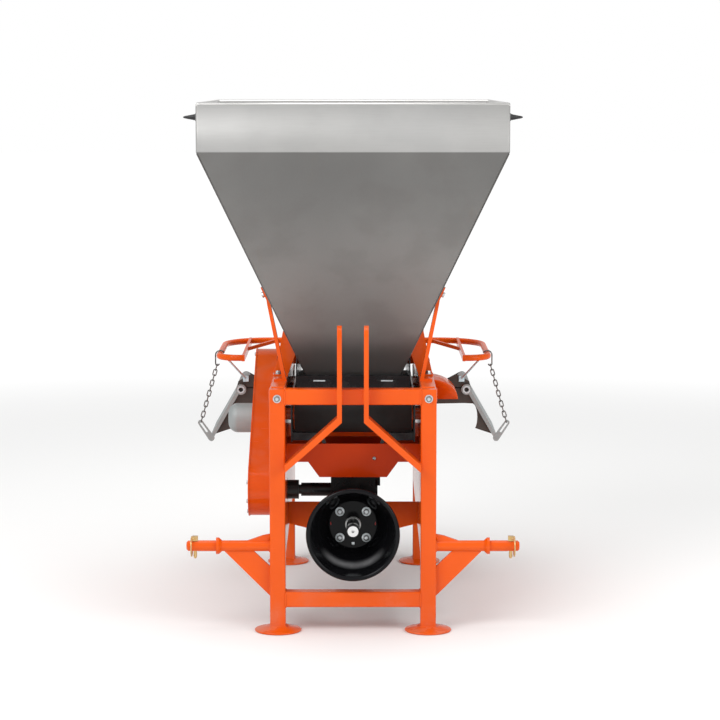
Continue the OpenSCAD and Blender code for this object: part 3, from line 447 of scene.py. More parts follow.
@dataclass(frozen=True)
class GuardPaint(Paint):
    """Gloss paint of the guard tube, whose thin stay rods below it are bare."""

    rods_below: float = 0.6152
    rods_before: float = 0.30
    # Cyan-tinted grey for the bare rods, painted against the orange light that bounces onto them: painted light.
    bare: Color = (0.66, 0.87, 0.94)

    def make(self) -> Material:
        """Builds the paint.

        Returns:
            The material.
        """
        g, tone, patch, up = self.base()
        rods = g.place.part(2).ramp(self.rods_below, self.rods_below - 0.001)
        rods = rods * g.place.part(1).ramp(self.rods_before, self.rods_before - 0.001)
        paint = g.mix(tone * 0.6, self.color, self.deep)
        paint = g.mix(up * patch * self.dusty * 0.35, paint, self.dust)
        metal = g.mix(patch * 0.5, self.bare, dim(self.bare, 0.7))
        return g.finish(
            Base_Color=g.mix(rods, paint, metal),
            Metallic=rods * 0.2,
            Roughness=self.rough + tone * 0.06 + rods * 0.15,
            Normal=g.bump(g.noise(260.0, 2.0), self.peel),
            Coat_Weight=rods * -self.coat + self.coat,
            Coat_Roughness=0.08,
            Specular_IOR_Level=self.shine,
        )


@dataclass(frozen=True)
class Plating(Finish):
    """Zinc plating: bright, finely mottled, with a breath of white bloom."""

    color: Color
    tint: Color
    bloom: Color
    rough: float = 0.26

    def make(self) -> Material:
        """Builds the plating.

        Returns:
            The material.
        """
        g = Graph(self.name)
        mottle = g.cells(420.0)
        patch = g.noise(60.0, 5.0).ramp(0.4, 0.7)
        grit = g.noise(700.0, 3.0)
        shade = g.mix(mottle.ramp(0.1, 0.7) * 0.5 + patch * 0.4, self.color, self.tint)
        shade = g.mix(patch * grit * 0.3, shade, self.bloom)
        return g.finish(
            Base_Color=shade,
            Metallic=0.95 - patch * 0.15,
            Roughness=self.rough + mottle * 0.12 + patch * 0.14,
            Normal=g.bump(grit, 0.00004),
        )


@dataclass(frozen=True)
class Turned(Finish):
    """Machined steel with fine turning marks and an oil film, and, where asked, a lighter colour on faces that point
    forward, towards -Y.
    """

    color: Color = (0.52, 0.52, 0.51)
    oil: Color = (0.17, 0.16, 0.145)
    rough: float = 0.24
    face: Color = (0.78, 0.78, 0.77)
    front_share: float = 0.0

    def make(self) -> Material:
        """Builds the steel.

        Returns:
            The material.
        """
        g = Graph(self.name)
        marks = g.noise(2.0, 2.0, (30, 900, 30))
        film = g.noise(26.0, 6.0).ramp(0.42, 0.68)
        # Faces that point forward, towards -Y, take the lighter colour.
        end = g.normal.part(1).ramp(-0.8, -0.98) * self.front_share
        steel = g.mix(film * 0.55 + marks * 0.12, self.color, self.oil)
        return g.finish(
            Base_Color=g.mix(end, steel, self.face),
            Metallic=1.0 - film * 0.25,
            Roughness=self.rough + marks * 0.14 + film * 0.1,
            Normal=g.bump(marks, 0.00004),
        )


@dataclass(frozen=True)
class BlackCoat(Finish):
    """Black enamel, over a casting or a sheet, with a light film of dust."""

    color: Color = (0.012, 0.012, 0.013)
    dust: Color = (0.14, 0.13, 0.12)
    rough: float = 0.22
    texture: float = 0.00012
    grit: float = 240.0
    coat: float = 0.15
    shine: float = 0.25

    def make(self) -> Material:
        """Builds the coat.

        Returns:
            The material.
        """
        g = Graph(self.name)
        grit = g.noise(self.grit, 4.0)
        patch = g.noise(16.0, 6.0).ramp(0.45, 0.75)
        up = g.normal.part(2).ramp(0.4, 1.0)
        film = patch * (up * 0.35 + 0.12)
        return g.finish(
            Base_Color=g.mix(film, self.color, self.dust),
            Roughness=self.rough + film * 0.45 + grit * 0.08,
            Normal=g.bump(grit, self.texture, 0.6),
            Coat_Weight=self.coat,
            Coat_Roughness=0.12,
            Specular_IOR_Level=self.shine,
        )


@dataclass(frozen=True)
class BeltRubber(Finish):
    """Belt rubber with a fine fabric print and grey dust from the load."""

    color: Color = (0.008, 0.008, 0.008)
    dust: Color = (0.12, 0.11, 0.10)

    def make(self) -> Material:
        """Builds the rubber.

        Returns:
            The material.
        """
        g = Graph(self.name)
        warp = g.noise(1.0, 1.0, (900, 60, 60))
        weft = g.noise(1.0, 1.0, (60, 900, 60))
        patch = g.noise(12.0, 7.0, (1.4, 0.5, 1)).ramp(0.4, 0.78)
        fabric = warp * 0.5 + weft * 0.5
        return g.finish(
            Base_Color=g.mix(patch * 0.12 + fabric * 0.04, self.color, self.dust),
            Roughness=0.55 + fabric * 0.2 + patch * 0.15,
            Normal=g.bump(fabric, 0.0002),
            Specular_IOR_Level=0.25,
        )


@dataclass(frozen=True)
class Moulded(Finish):
    """Moulded plastic or rubber, glossy or matt, with a soft flow pattern."""

    color: Color = (0.01, 0.01, 0.011)
    worn: Color = (0.05, 0.05, 0.052)
    dust: Color = (0.22, 0.22, 0.225)
    rough: float = 0.16
    texture: float = 0.00008
    shine: float = 0.5

    def make(self) -> Material:
        """Builds the moulding.

        Returns:
            The material.
        """
        g = Graph(self.name)
        flow = g.noise(9.0, 4.0)
        grain = g.noise(500.0, 2.0)
        scuff = g.noise(5.0, 4.0, (40, 5, 40), (0.2, 0.1, 0.5)).ramp(0.62, 0.8)
        worn = g.mix(scuff * 0.4 + flow * 0.15, self.color, self.worn)
        film = self.film(g)
        return g.finish(
            Base_Color=g.mix(film, worn, self.dust),
            Roughness=self.rough + scuff * 0.2 + flow * 0.08 + film * 0.2,
            Normal=g.bump(grain * 0.5 + flow * 0.5, self.texture),
            Specular_IOR_Level=self.shine,
        )

    def film(self, g: Graph) -> Sock:
        """Gives the film of dust that lies on the upper faces.

        Args:
            g: the material's graph.

        Returns:
            How much of it there is, from 0 to 1.
        """
        patch = g.noise(24.0, 5.0).ramp(0.35, 0.75)
        return g.normal.part(2).ramp(0.6, 1.0) * patch * 0.12


@dataclass(frozen=True)
class CupPlastic(Moulded):
    """Glossy plastic of the guard cup, with a painted highlight: a pale band in the dust colour on the upward faces of
    the widening step of its lower wall.
    """

    step: tuple[float, float] = (-0.533, -0.493)

    def film(self, g: Graph) -> Sock:
        """Gives the painted highlight on the step, a pale band in the dust colour.

        Args:
            g: the material's graph.

        Returns:
            How much of it there is, from 0 to 1.
        """
        back = g.place.part(1)
        middle = (self.step[0] + self.step[1]) / 2
        # Painted highlight: a band across the step, on faces that look up, in the dust colour.
        belt = back.ramp(self.step[0], middle) * back.ramp(self.step[1], middle)
        patch = g.noise(30.0, 6.0).ramp(0.2, 0.8)
        return g.normal.part(2).ramp(0.45, 0.85) * belt * (patch * 0.5 + 0.5)


@dataclass(frozen=True)
class Ground(Finish):
    """Pale studio floor, which fades into the white behind the object."""

    color: Color = (0.86, 0.86, 0.855)
    black: Color = (0.0, 0.0, 0.0)
    white: Color = (1.0, 1.0, 1.0)

    def make(self) -> Material:
        """Builds the floor.

        Returns:
            The material.
        """
        g = Graph(self.name)
        tone = g.noise(2.0, 3.0)
        far = (g.place.part(0) ** 2 + g.place.part(1) ** 2).ramp(3.0, 30.0)
        near = g.mix(tone * 0.3, self.color, dim(self.color, 0.985))
        return g.finish(
            Base_Color=g.mix(far, near, self.black),
            Emission_Color=g.mix(far, self.black, self.white),
            Emission_Strength=1.0,
            Roughness=0.75 + tone * 0.1,
        )


class Look(Enum):
    """The finishes of the spreader."""

    ORANGE = Paint("orange_gloss")
    ORANGE_SHEET = Paint("orange_sheet_gloss", peel=0.00008, rough=0.17)
    # Brighter, redder copy of the orange paint for the mid cross plate, which stands in shade: painted light.
    ORANGE_PLATE_LIT = Paint("orange_plate_gloss", (0.92, 0.125, 0.003), (0.8, 0.1, 0.002), coat=0.06, shine=0.06)
    # Darker, redder copy of the orange paint for the gearbox pan: painted shade.
    ORANGE_PAN_SHADED = Paint("orange_pan_gloss", (0.62, 0.052, 0.002), (0.46, 0.034, 0.001), coat=0.08, shine=0.08)
    GUARD = GuardPaint("guard_gloss", dusty=0.12, coat=0.08, shine=0.09)
    HOPPER = HopperSheet("hopper_stainless", (0.455, 0.452, 0.445), (0.405, 0.4, 0.388), 0.52)
    RIM = Sheet("rim_stainless", (0.68, 0.675, 0.66), (0.6, 0.59, 0.57), 0.27, Grain.ACROSS, 0.1)
    SEAM = Sheet("seam_stainless", (0.15, 0.145, 0.14), (0.09, 0.08, 0.075), 0.45, stain=0.5)
    STAINLESS = Sheet("flap_stainless", (0.375, 0.4, 0.4), (0.3, 0.315, 0.31), 0.4)
    CAP = Sheet("cap_stainless", (0.395, 0.42, 0.42), (0.32, 0.342, 0.34), 0.56, Grain.ACROSS, 0.1, 0.7)
    # Near-black brownish copy of the stainless for the hood: painted shade with a painted orange reflection; its
    # streaks are stains.
    HOOD_SHADED = Sheet("hood_stainless", (0.10, 0.088, 0.08), (0.062, 0.052, 0.047), 0.4, stain=0.6)
    CHUTE = Sheet("chute_stainless", (0.30, 0.29, 0.275), (0.2, 0.19, 0.175), 0.4, stain=0.5)
    DISC = Sheet("disc_stainless", (0.40, 0.39, 0.37), (0.28, 0.26, 0.24), grain=Grain.ACROSS)
    ZINC = Plating("zinc_plating", (0.7, 0.735, 0.735), (0.47, 0.51, 0.55), (0.63, 0.66, 0.65))
    # Darker copy of the zinc for the bolt heads: painted shade, with a bright disc on top of each head as its painted
    # highlight.
    BOLT_SHADED = Plating("bolt_plating", (0.34, 0.34, 0.345), (0.16, 0.16, 0.17), (0.3, 0.3, 0.3), 0.2)
    CHAIN = Plating("chain_plating", (0.34, 0.34, 0.33), (0.03, 0.028, 0.026), (0.2, 0.2, 0.19), 0.2)
    YELLOW_ZINC = Plating("yellow_zinc", (0.66, 0.47, 0.17), (0.62, 0.38, 0.22), (0.5, 0.45, 0.3))
    TURNED = Turned("turned_steel")
    SHAFT = Turned("shaft_steel", (0.2, 0.2, 0.2), (0.05, 0.048, 0.045), front_share=1.0)
    BRONZE = Turned("gear_bronze", (0.5, 0.3, 0.11), (0.2, 0.1, 0.03))
    CAST_BLACK = BlackCoat("cast_black", (0.006, 0.006, 0.006), (0.08, 0.078, 0.075), 0.24, 0.0006, 90.0, shine=0.22)
    SHEET_BLACK = BlackCoat("sheet_black")
    BELT = BeltRubber("belt_rubber")
    HOOK_RUBBER = Moulded("hook_rubber", rough=0.4, texture=0.0002)
    CUP = CupPlastic("cup_plastic", (0.005, 0.005, 0.006), (0.016, 0.016, 0.017), rough=0.05, shine=0.13)
    RED_PLASTIC = Moulded("red_plastic", (0.5, 0.02, 0.015), (0.6, 0.08, 0.06), rough=0.3)
    GROUND = Ground("studio_floor")


@dataclass
class Paintbox:
    """Makes each finish once and lends it out."""

    made: dict[Look, Material] = field(default_factory=dict)

    def get(self, look: Look) -> Material:
        """Gives the material of a finish.

        Args:
            look: the finish.

        Returns:
            Its material.
        """
        if look not in self.made:
            self.made[look] = look.value.make()
        return self.made[look]


@dataclass
class Assembly:
    """A sub-assembly: it dresses its CAD nodes and adds its own pieces."""

    looks: ClassVar[Mapping[Look, str]] = {}
    nodes: Mapping[str, Object]
    paints: Paintbox
    body: str = "frame"
    gauge: float = 0.0024

    def dress(self) -> None:
        """Puts each node's finish on it."""
        for look, names in self.looks.items():
            for name in names.split():
                slots = self.nodes[name].data.materials
                slots.clear()
                slots.append(self.paints.get(look))
                LOG.info("dressed %s in %s", name, look.value.name)

    def build(self) -> None:
        """Adds the pieces that the frame doesn't have."""

    def piece(self, name: str, mesh: BMesh, look: Look, slot: str, angle: float = 40.0) -> Object:
        """Turns a bmesh into a finished piece that rides on the assembly's body.

        Args:
            name: the piece's name.
            mesh: its shape, in place, which is freed.
            look: its finish.
            slot: the record's material slot; it is not used.
            angle: faces that meet more sharply than this stay sharp, in degrees.

        Returns:
            The new object.
        """
        bmesh.ops.remove_doubles(mesh, verts=mesh.verts[:], dist=1e-6)
        bmesh.ops.recalc_face_normals(mesh, faces=mesh.faces[:])
        for face in mesh.faces:
            face.smooth = True
        for edge in mesh.edges:
            if len(edge.link_faces) == 2 and edge.calc_face_angle(0.0) > math.radians(angle):
                edge.smooth = False
        data = bpy.data.meshes.new(name)
        mesh.to_mesh(data)
        mesh.free()
        made = linked(name, data)
        data.materials.append(self.paints.get(look))
        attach(made, self.body)
        LOG.info("made %s: %d faces", name, len(data.polygons))
        return made

    def walled(self, made: Object) -> Object:
        """Gives a folded sheet its thickness, inwards.

        Args:
            made: the sheet.

        Returns:
            The same piece.
        """
        wall = made.modifiers.new("wall", "SOLIDIFY")
        wall.thickness = self.gauge
        wall.offset = -1.0
        return made


def placed(spot: Sequence[float], degrees: float = 0.0, axis: str = "X") -> Matrix:
    """Gives the move to a spot after a turn about an axis."""
    return Matrix.Translation(spot) @ Matrix.Rotation(math.radians(degrees), 4, axis)


def edges_at(verts: Sequence[BMVert]) -> list[BMEdge]:
    """Gives the edges that meet any of some corners."""
    return list(dict.fromkeys(e for v in verts for e in v.link_edges))


def grow(mesh: BMesh, edges: Sequence[BMEdge]) -> tuple[list[BMVert], list[BMEdge]]:
    """Extrudes a row of edges on the spot.

    Args:
        mesh: the mesh that holds them.
        edges: the row.

    Returns:
        The new corners and the new edges.
    """
    grown = bmesh.ops.extrude_edge_only(mesh, edges=edges)["geom"]
    return [g for g in grown if isinstance(g, BMVert)], [g for g in grown if isinstance(g, BMEdge)]


def turn_up(mesh: BMesh, edges: Sequence[BMEdge], rings: Sequence[tuple[float, float]]) -> list[BMEdge]:
    """Draws a ring of edges round the Z axis through further rings.

    Args:
        mesh: the mesh that holds it.
        edges: the first ring.
        rings: the radius and the height of each further ring, in metres.

    Returns:
        The last ring.
    """
    for radius, rise in rings:
        verts, edges = grow(mesh, edges)
        for vert in verts:
            flat = vert.co.xy.normalized() * radius
            vert.co = Vector((flat.x, flat.y, rise))
    return edges


def raise_wall(mesh: BMesh, edges: Sequence[BMEdge], height: float) -> list[BMEdge]:
    """Draws a wall up from a loop of edges.

    Args:
        mesh: the mesh that holds it.
        edges: the loop.
        height: where the wall ends.

    Returns:
        The wall's upper edges.
    """
    verts, edges = grow(mesh, edges)
    for vert in verts:
        vert.co.z = height
    return edges


def soften(mesh: BMesh, edges: Sequence[BMEdge], offset: float, segments: int) -> list[BMVert]:
    """Bevels edges.

    Args:
        mesh: the mesh that holds them.
        edges: the edges.
        offset: the bevel's width, in metres.
        segments: how many steps it has.

    Returns:
        The new corners.
    """
    return bmesh.ops.bevel(
        mesh, geom=edges, offset=offset, segments=segments, profile=0.5, affect="EDGES", material=-1
    )["verts"]


def bead(mesh: BMesh, path: Sequence[Vector], width: float, closed: bool = False) -> None:
    """Lays a rippled weld bead along a path.

    Args:
        mesh: the mesh that takes the bead.
        path: its points, in metres.
        width: the bead's width, in metres.
        closed: whether the path comes back to its start.
    """
    pitch, thin, thick = 0.36, 0.9, 1.13
    points = list(path) + ([path[0]] if closed else [])
    spots: list[tuple[Vector, Vector]] = []
    for start, end in zip(points, points[1:]):
        way = end - start
        steps = max(2, round(way.length / (width * pitch)))
        for i in range(steps):
            spots.append((start + way * (i / steps), way.normalized()))
    spots.append((points[-1], (points[-1] - points[-2]).normalized()))
    ring = bmesh.ops.create_circle(mesh, cap_ends=not closed, segments=8, radius=width / 2)["verts"]
    turn = Vector((0, 0, 1)).rotation_difference(spots[0][1]).to_matrix()
    bmesh.ops.transform(mesh, matrix=Matrix.Translation(spots[0][0]) @ turn.to_4x4(), verts=ring)
    first = edges = edges_at(ring)
    if closed:
        spots.pop()
    last, aim = spots[0]
    for number, (spot, way) in enumerate(spots[1:]):
        ring, edges = grow(mesh, edges)
        size = (thick / thin if number % 2 else thin / thick) if number else 0.95
        change = (
            Matrix.Translation(spot)
            @ aim.rotation_difference(way).to_matrix().to_4x4()
            @ Matrix.Scale(size, 4)
            @ Matrix.Translation(-last)
        )
        bmesh.ops.transform(mesh, matrix=change, verts=ring)
        last, aim = spot, way
    if closed:
        bmesh.ops.bridge_loops(mesh, edges=first + edges)
    else:
        bmesh.ops.contextual_create(mesh, geom=edges)


def nut(mesh: BMesh, place: Matrix, across: float, height: float, sides: int = 6, chamfer: float = 0.12) -> None:
    """Adds a hexagon or round head with bevelled edges, standing on its place along Z.

    Args:
        mesh: the mesh that takes it.
        place: where it stands.
        across: its width over the corners, in metres.
        height: its height, in metres.
        sides: how many sides it has.
        chamfer: the bevel's width as a share of the height.
    """
    half = across / 2
    made = bmesh.ops.create_cone(mesh, cap_ends=True, segments=sides, radius1=half, radius2=half, depth=height)["verts"]
    grown = soften(mesh, edges_at(made), height * chamfer, 2)
    every = list(dict.fromkeys(v for v in (*made, *grown) if v.is_valid))
    bmesh.ops.transform(mesh, matrix=place @ Matrix.Translation((0, 0, height / 2)), verts=every)


def slab(mesh: BMesh, corners: Sequence[Vector], way: Vector) -> None:
    """Adds a flat plate.

    Args:
        mesh: the mesh that takes it.
        corners: the outline of one side.
        way: how far and which way the other side lies.
    """
    face = mesh.faces.new([mesh.verts.new(corner) for corner in corners])
    grown = bmesh.ops.extrude_face_region(mesh, geom=[face], use_keep_orig=True)["geom"]
    bmesh.ops.translate(mesh, vec=way, verts=[g for g in grown if isinstance(g, BMVert)])


@dataclass
class TubeFrame(Assembly):
    """Orange tube frame with its welds, in millimetres, but for the width of the beads."""

    looks = {
        Look.ORANGE: """front_legs rear_legs feet front_crossbars rear_crossbar side_rails mast_plates hitch_pins
            hitch_gussets hopper_struts hopper_brackets""",
        Look.ORANGE_SHEET: "side_panels rear_cross_plate",
        Look.ORANGE_PLATE_LIT: "mid_cross_plate",
        Look.ORANGE_PAN_SHADED: "gearbox_pan",
        Look.GUARD: "guard_frame",
    }
    leg_in: float = 173.0
    leg_out: float = 213.0
    rear: float = 885.0
    rail: float = 588.0
    bar_low: float = 64.0
    tube: float = 40.0
    foot_top: float = 12.0
    weld: float = 0.0055
    inset: float = 0.6
    gap: float = 3.0
    top_gap: float = 4.0

    def build(self) -> None:
        """Lays the weld beads of the frame."""
        mesh = bmesh.new()
        half = self.tube / 2
        toe = (half - 0.4) * 0.97
        for side in (-1, 1):
            for run in self.bar_runs():
                bead(mesh, [at(side * x, y, z) for x, y, z in run], self.weld)
            x = side * (self.leg_in + half)
            for y in (half, self.rear + half):
                foot = [at(x + a * toe, y + b * toe, self.foot_top) for a, b in ((-1, -1), (1, -1), (1, 1), (-1, 1))]
                bead(mesh, foot, self.weld, closed=True)
        self.piece("frame_welds", mesh, Look.ORANGE, "orange_paint")

    def bar_runs(self) -> list[list[Point]]:
        """Lists the beads where the crossbars and rails meet the legs.

        Returns:
            The ends of each bead on the right side.
        """
        x, out = self.leg_in, self.leg_out - self.inset
        near, far = self.inset, self.tube - self.inset
        start, end = self.gap, self.tube - self.gap
        runs = []
        for low in (self.bar_low, self.rail):
            runs += [[(x, y, low + start), (x, y, low + end)] for y in (near, far)]
            runs += [[(x, start, low + z), (x, end, low + z)] for z in (near, far)]
        low = self.rail
        runs += [[(x, self.rear + y, low + start), (x, self.rear + y, low + end)] for y in (near, far)]
        for y in (self.tube, self.rear):
            runs.append([(out, y, low + start), (out, y, low + end)])
            runs.append([(x + self.top_gap, y, low + far), (self.leg_out - self.top_gap, y, low + far)])
        return runs


@dataclass
class Hitch(Assembly):
    """Linchpins, and the welds of the hitch pins, gussets and mast, in millimetres, but for the beads' width."""

    looks = {Look.YELLOW_ZINC: "left_linchpin right_linchpin left_linchpin_ring right_linchpin_ring"}
    pin: Point = (213.0, 20.0, 221.0)
    pin_r: float = 14.0
    weld: float = 0.005
    gusset_y: tuple[float, float] = (14.5, 25.5)
    mast_x: tuple[float, float] = (28.0, 40.0)
    mast_foot_z: tuple[float, float] = (419.5, 437.5)

    def build(self) -> None:
        """Lays the weld beads of the pins, the gussets and the mast."""
        mesh = bmesh.new()
        out, middle, height = self.pin
        turns = [math.tau * i / 20 for i in range(20)]
        ring = [(out, middle + self.pin_r * math.cos(a), height + self.pin_r * math.sin(a)) for a in turns]
        runs = [((172.6, -0.2, 421), (172.6, -0.2, 436))]
        for y in self.gusset_y:
            runs += [((out, y, 94), (out, y, 165)), ((out + 4, y, 237), (out, y, 250))]
        runs += [((x, -0.4, 591), (x, -0.4, 625)) for x in self.mast_x]
        runs += [((173, 1, z), (173, 23, z)) for z in self.mast_foot_z]
        for side in (-1, 1):
            bead(mesh, [at(side * x, y, z) for x, y, z in ring], self.weld, closed=True)
            for run in runs:
                bead(mesh, [at(side * x, y, z) for x, y, z in run], self.weld)
        self.piece("hitch_welds", mesh, Look.ORANGE, "orange_paint")


@dataclass
class Hopper(Assembly):
    """Stainless hopper with bent corners and a rolled hem, its hooks, box and gate, in metres."""

    looks = {
        Look.HOPPER: "hopper",
        Look.HOOK_RUBBER: "tarp_hooks",
        Look.SHEET_BLACK: "outlet_box",
        Look.CHUTE: "gate",
    }
    rim: tuple[float, float] = (0.800, 0.890)
    rim_front: float = 0.080
    outlet: tuple[float, float] = (0.252, 0.510)
    outlet_front: float = 0.200
    outlet_z: float = 0.6403
    bend_z: float = 1.2263
    rim_z: float = 1.3523
    hem_r: float = 0.006
    corner_r: float = 0.006
    fold_r: float = 0.004
    seam: float = 0.003
    seam_in: float = 0.0018
    seam_foot: float = 0.05

    def build(self) -> None:
        """Makes the folded hopper, its hem and the welded seams down its corners."""
        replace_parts(self.shell(), "hopper")
        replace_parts(self.hem(), "hopper")
        self.seams()

    def shell(self) -> Object:
        """Folds the hopper from one loop: sloped walls and an upright band.

        Returns:
            The hopper.
        """
        mesh = bmesh.new()
        bmesh.ops.create_grid(mesh, x_segments=1, y_segments=1, size=0.5)
        wide, long = self.outlet
        rim_wide, rim_long = self.rim
        middle = self.outlet_front + long / 2 - MID_Y
        rim_middle = self.rim_front + rim_long / 2 - MID_Y
        bmesh.ops.scale(mesh, vec=(wide, long, 1.0), verts=mesh.verts[:])
        bmesh.ops.translate(mesh, vec=(0.0, middle, self.outlet_z), verts=mesh.verts[:])
        bottom = mesh.faces[:]
        loop = raise_wall(mesh, mesh.edges[:], self.bend_z)
        widen = Matrix.Diagonal((rim_wide / wide, rim_long / long, 1.0, 1.0))
        widen = placed((0.0, rim_middle, self.bend_z)) @ widen @ placed((0.0, -middle, -self.bend_z))
        bmesh.ops.transform(mesh, matrix=widen, verts=list(dict.fromkeys(v for e in loop for v in e.verts)))
        raise_wall(mesh, loop, self.rim_z - self.hem_r)
        bmesh.ops.delete(mesh, geom=bottom, context="FACES_ONLY")
        corners = [e for e in mesh.edges if abs(e.verts[0].co.z - e.verts[1].co.z) > 0.01]
        soften(mesh, corners, self.corner_r, 5)
        folds = [e for e in mesh.edges if all(abs(v.co.z - self.bend_z) < 1e-5 for v in e.verts)]
        soften(mesh, folds, self.fold_r, 4)
        bmesh.ops.recalc_face_normals(mesh, faces=mesh.faces[:])
        return self.walled(self.piece("hopper_shell", mesh, Look.HOPPER, "stainless", angle=50.0))

    def hem(self) -> Object:
        """Runs the rolled hem round the rim, with mitred corners.

        Returns:
            The hem.
        """
        mesh = bmesh.new()
        bmesh.ops.create_circle(mesh, cap_ends=False, segments=20, radius=self.hem_r)
        corner = Vector((self.rim[0] / 2 - self.hem_r, -self.rim[1] / 2 + self.hem_r, 0.0))
        mitre = Matrix(((1, 0, 1, 0), (-1, 0, 1, 0), (0, 1, 0, 0), (0, 0, 0, 1)))
        bmesh.ops.transform(mesh, matrix=Matrix.Translation(corner) @ mitre, verts=mesh.verts[:])
        edges = mesh.edges[:]
        for flip in ((1.0, -1.0, 1.0), (-1.0, 1.0, 1.0)) * 2:
            verts, edges = grow(mesh, edges)
            bmesh.ops.scale(mesh, vec=flip, verts=verts)
        middle = (0.0, self.rim_front + self.rim[1] / 2 - MID_Y, self.rim_z - self.hem_r)
        bmesh.ops.translate(mesh, vec=middle, verts=mesh.verts[:])
        return self.piece("hopper_hem", mesh, Look.RIM, "stainless", angle=60.0)

    def seams(self) -> None:
        """Lays the ground weld seams down the four sloped corners."""
        mesh = bmesh.new()
        wide, long = self.outlet
        rim_wide, rim_long = self.rim
        front = (self.outlet_front, self.rim_front, self.seam_in)
        rear = (self.outlet_front + long, self.rim_front + rim_long, -self.seam_in)
        share = self.seam_foot / (self.bend_z - self.outlet_z)
        for side in (-1, 1):
            for outlet_y, rim_y, inward in (front, rear):
                low = Vector((
                    side * (wide / 2 - self.seam_in + share * (rim_wide - wide) / 2),
                    outlet_y + inward - MID_Y + share * (rim_y - outlet_y),
                    self.outlet_z + self.seam_foot,
                ))
                rim_y += inward * 1.3 - MID_Y
                high = Vector((side * (rim_wide / 2 - self.gauge), rim_y, self.bend_z - self.fold_r))
                bead(mesh, [low, high], self.seam)
        self.piece("hopper_seams", mesh, Look.SEAM, "stainless")


@dataclass
class Conveyor(Assembly):
    """Belt conveyor inside the frame."""

    looks = {
        Look.SHEET_BLACK: "conveyor_sides",
        Look.BELT: "belt",
        Look.ORANGE_SHEET: "front_drum rear_drum",
        Look.CAST_BLACK: "drum_bearings",
        Look.CHUTE: "chute",
    }
    shafts_y: tuple[float, float] = (147.0, 700.0)

    def build(self) -> None:
        """Adds a grease nipple to each flange bearing."""
        mesh = bmesh.new()
        for side in (-1, 1):
            for y in self.shafts_y:
                nut(mesh, placed(at(side * 190, y, 570.5)), 0.009, 0.005)
                nut(mesh, placed(at(side * 190, y, 575.5)), 0.005, 0.006, 16)
        self.piece("grease_nipples", mesh, Look.ZINC, "zinc")


@dataclass
class Drive(Assembly):
    """Gearbox, guard cup, shafts and chain case, in millimetres, but for the small pieces' own sizes."""

    looks = {
        Look.CAST_BLACK: "gearbox_housing gearbox_cap cross_shaft cross_shaft_tube spinner_gearbox",
        Look.TURNED: "worm small_sprocket large_sprocket drive_chain bevel_pinion spinner_shaft gearbox_bearings",
        Look.SHAFT: "input_shaft",
        Look.BRONZE: "worm_wheel",
        Look.CUP: "guard_cup",
        Look.ORANGE_SHEET: "chain_case chain_case_cover shaft_end_guard",
        Look.ZINC: "case_screws",
        Look.CAP: "tensioner_cap",
    }
    cup_floor: float = 121.0
    shaft_z: float = 257.5

    def build(self) -> None:
        """Adds the small pieces inside the guard cup and the plugs of the gearboxes."""
        self.cup_ring()
        self.cup_clips()
        self.gearbox_plugs()

    def cup_ring(self) -> None:
        """Turns the raised ring that stands round the four bolts of the cup."""
        mesh = bmesh.new()
        bmesh.ops.create_circle(mesh, cap_ends=False, segments=64, radius=0.0645)
        foot = mesh.edges[:]
        rings = ((0.0640, 0.0016), (0.0630, 0.0022), (0.0620, 0.0016), (0.0615, 0.0))
        bmesh.ops.bridge_loops(mesh, edges=foot + turn_up(mesh, foot, rings))
        bmesh.ops.transform(mesh, matrix=placed(at(0, self.cup_floor, self.shaft_z), 90), verts=mesh.verts[:])
        self.piece("cup_ring", mesh, Look.CUP, "black_plastic")

    def cup_clips(self) -> None:
        """Adds the two red clips at the sides of the cup's floor, and the pale plug at its foot."""
        foot = self.cup_floor + 0.5
        mesh = bmesh.new()
        for side in (-1, 1):
            place = placed(at(side * 58, foot, self.shaft_z + 3), 90)
            nut(mesh, place @ Matrix.Diagonal((0.45, 1.4, 1.0, 1.0)), 0.008, 0.005, 4)
        self.piece("cup_clips", mesh, Look.RED_PLASTIC, "black_plastic")
        mesh = bmesh.new()
        place = placed(at(0, foot, self.shaft_z - 50), 90)
        nut(mesh, place @ Matrix.Rotation(math.pi / 4, 4, "Z"), 0.011, 0.003, 4)
        self.piece("cup_plug", mesh, Look.ZINC, "zinc")

    def gearbox_plugs(self) -> None:
        """Adds the filler and drain plugs of the two gearboxes."""
        mesh = bmesh.new()
        for x, y, z in ((58, 235, 300), (55, 1020, 250), (-55, 980, 275)):
            nut(mesh, placed(at(x, y, z), math.copysign(90, x), "Y"), 0.018, 0.008)
        self.piece("gearbox_plugs", mesh, Look.ZINC, "zinc")


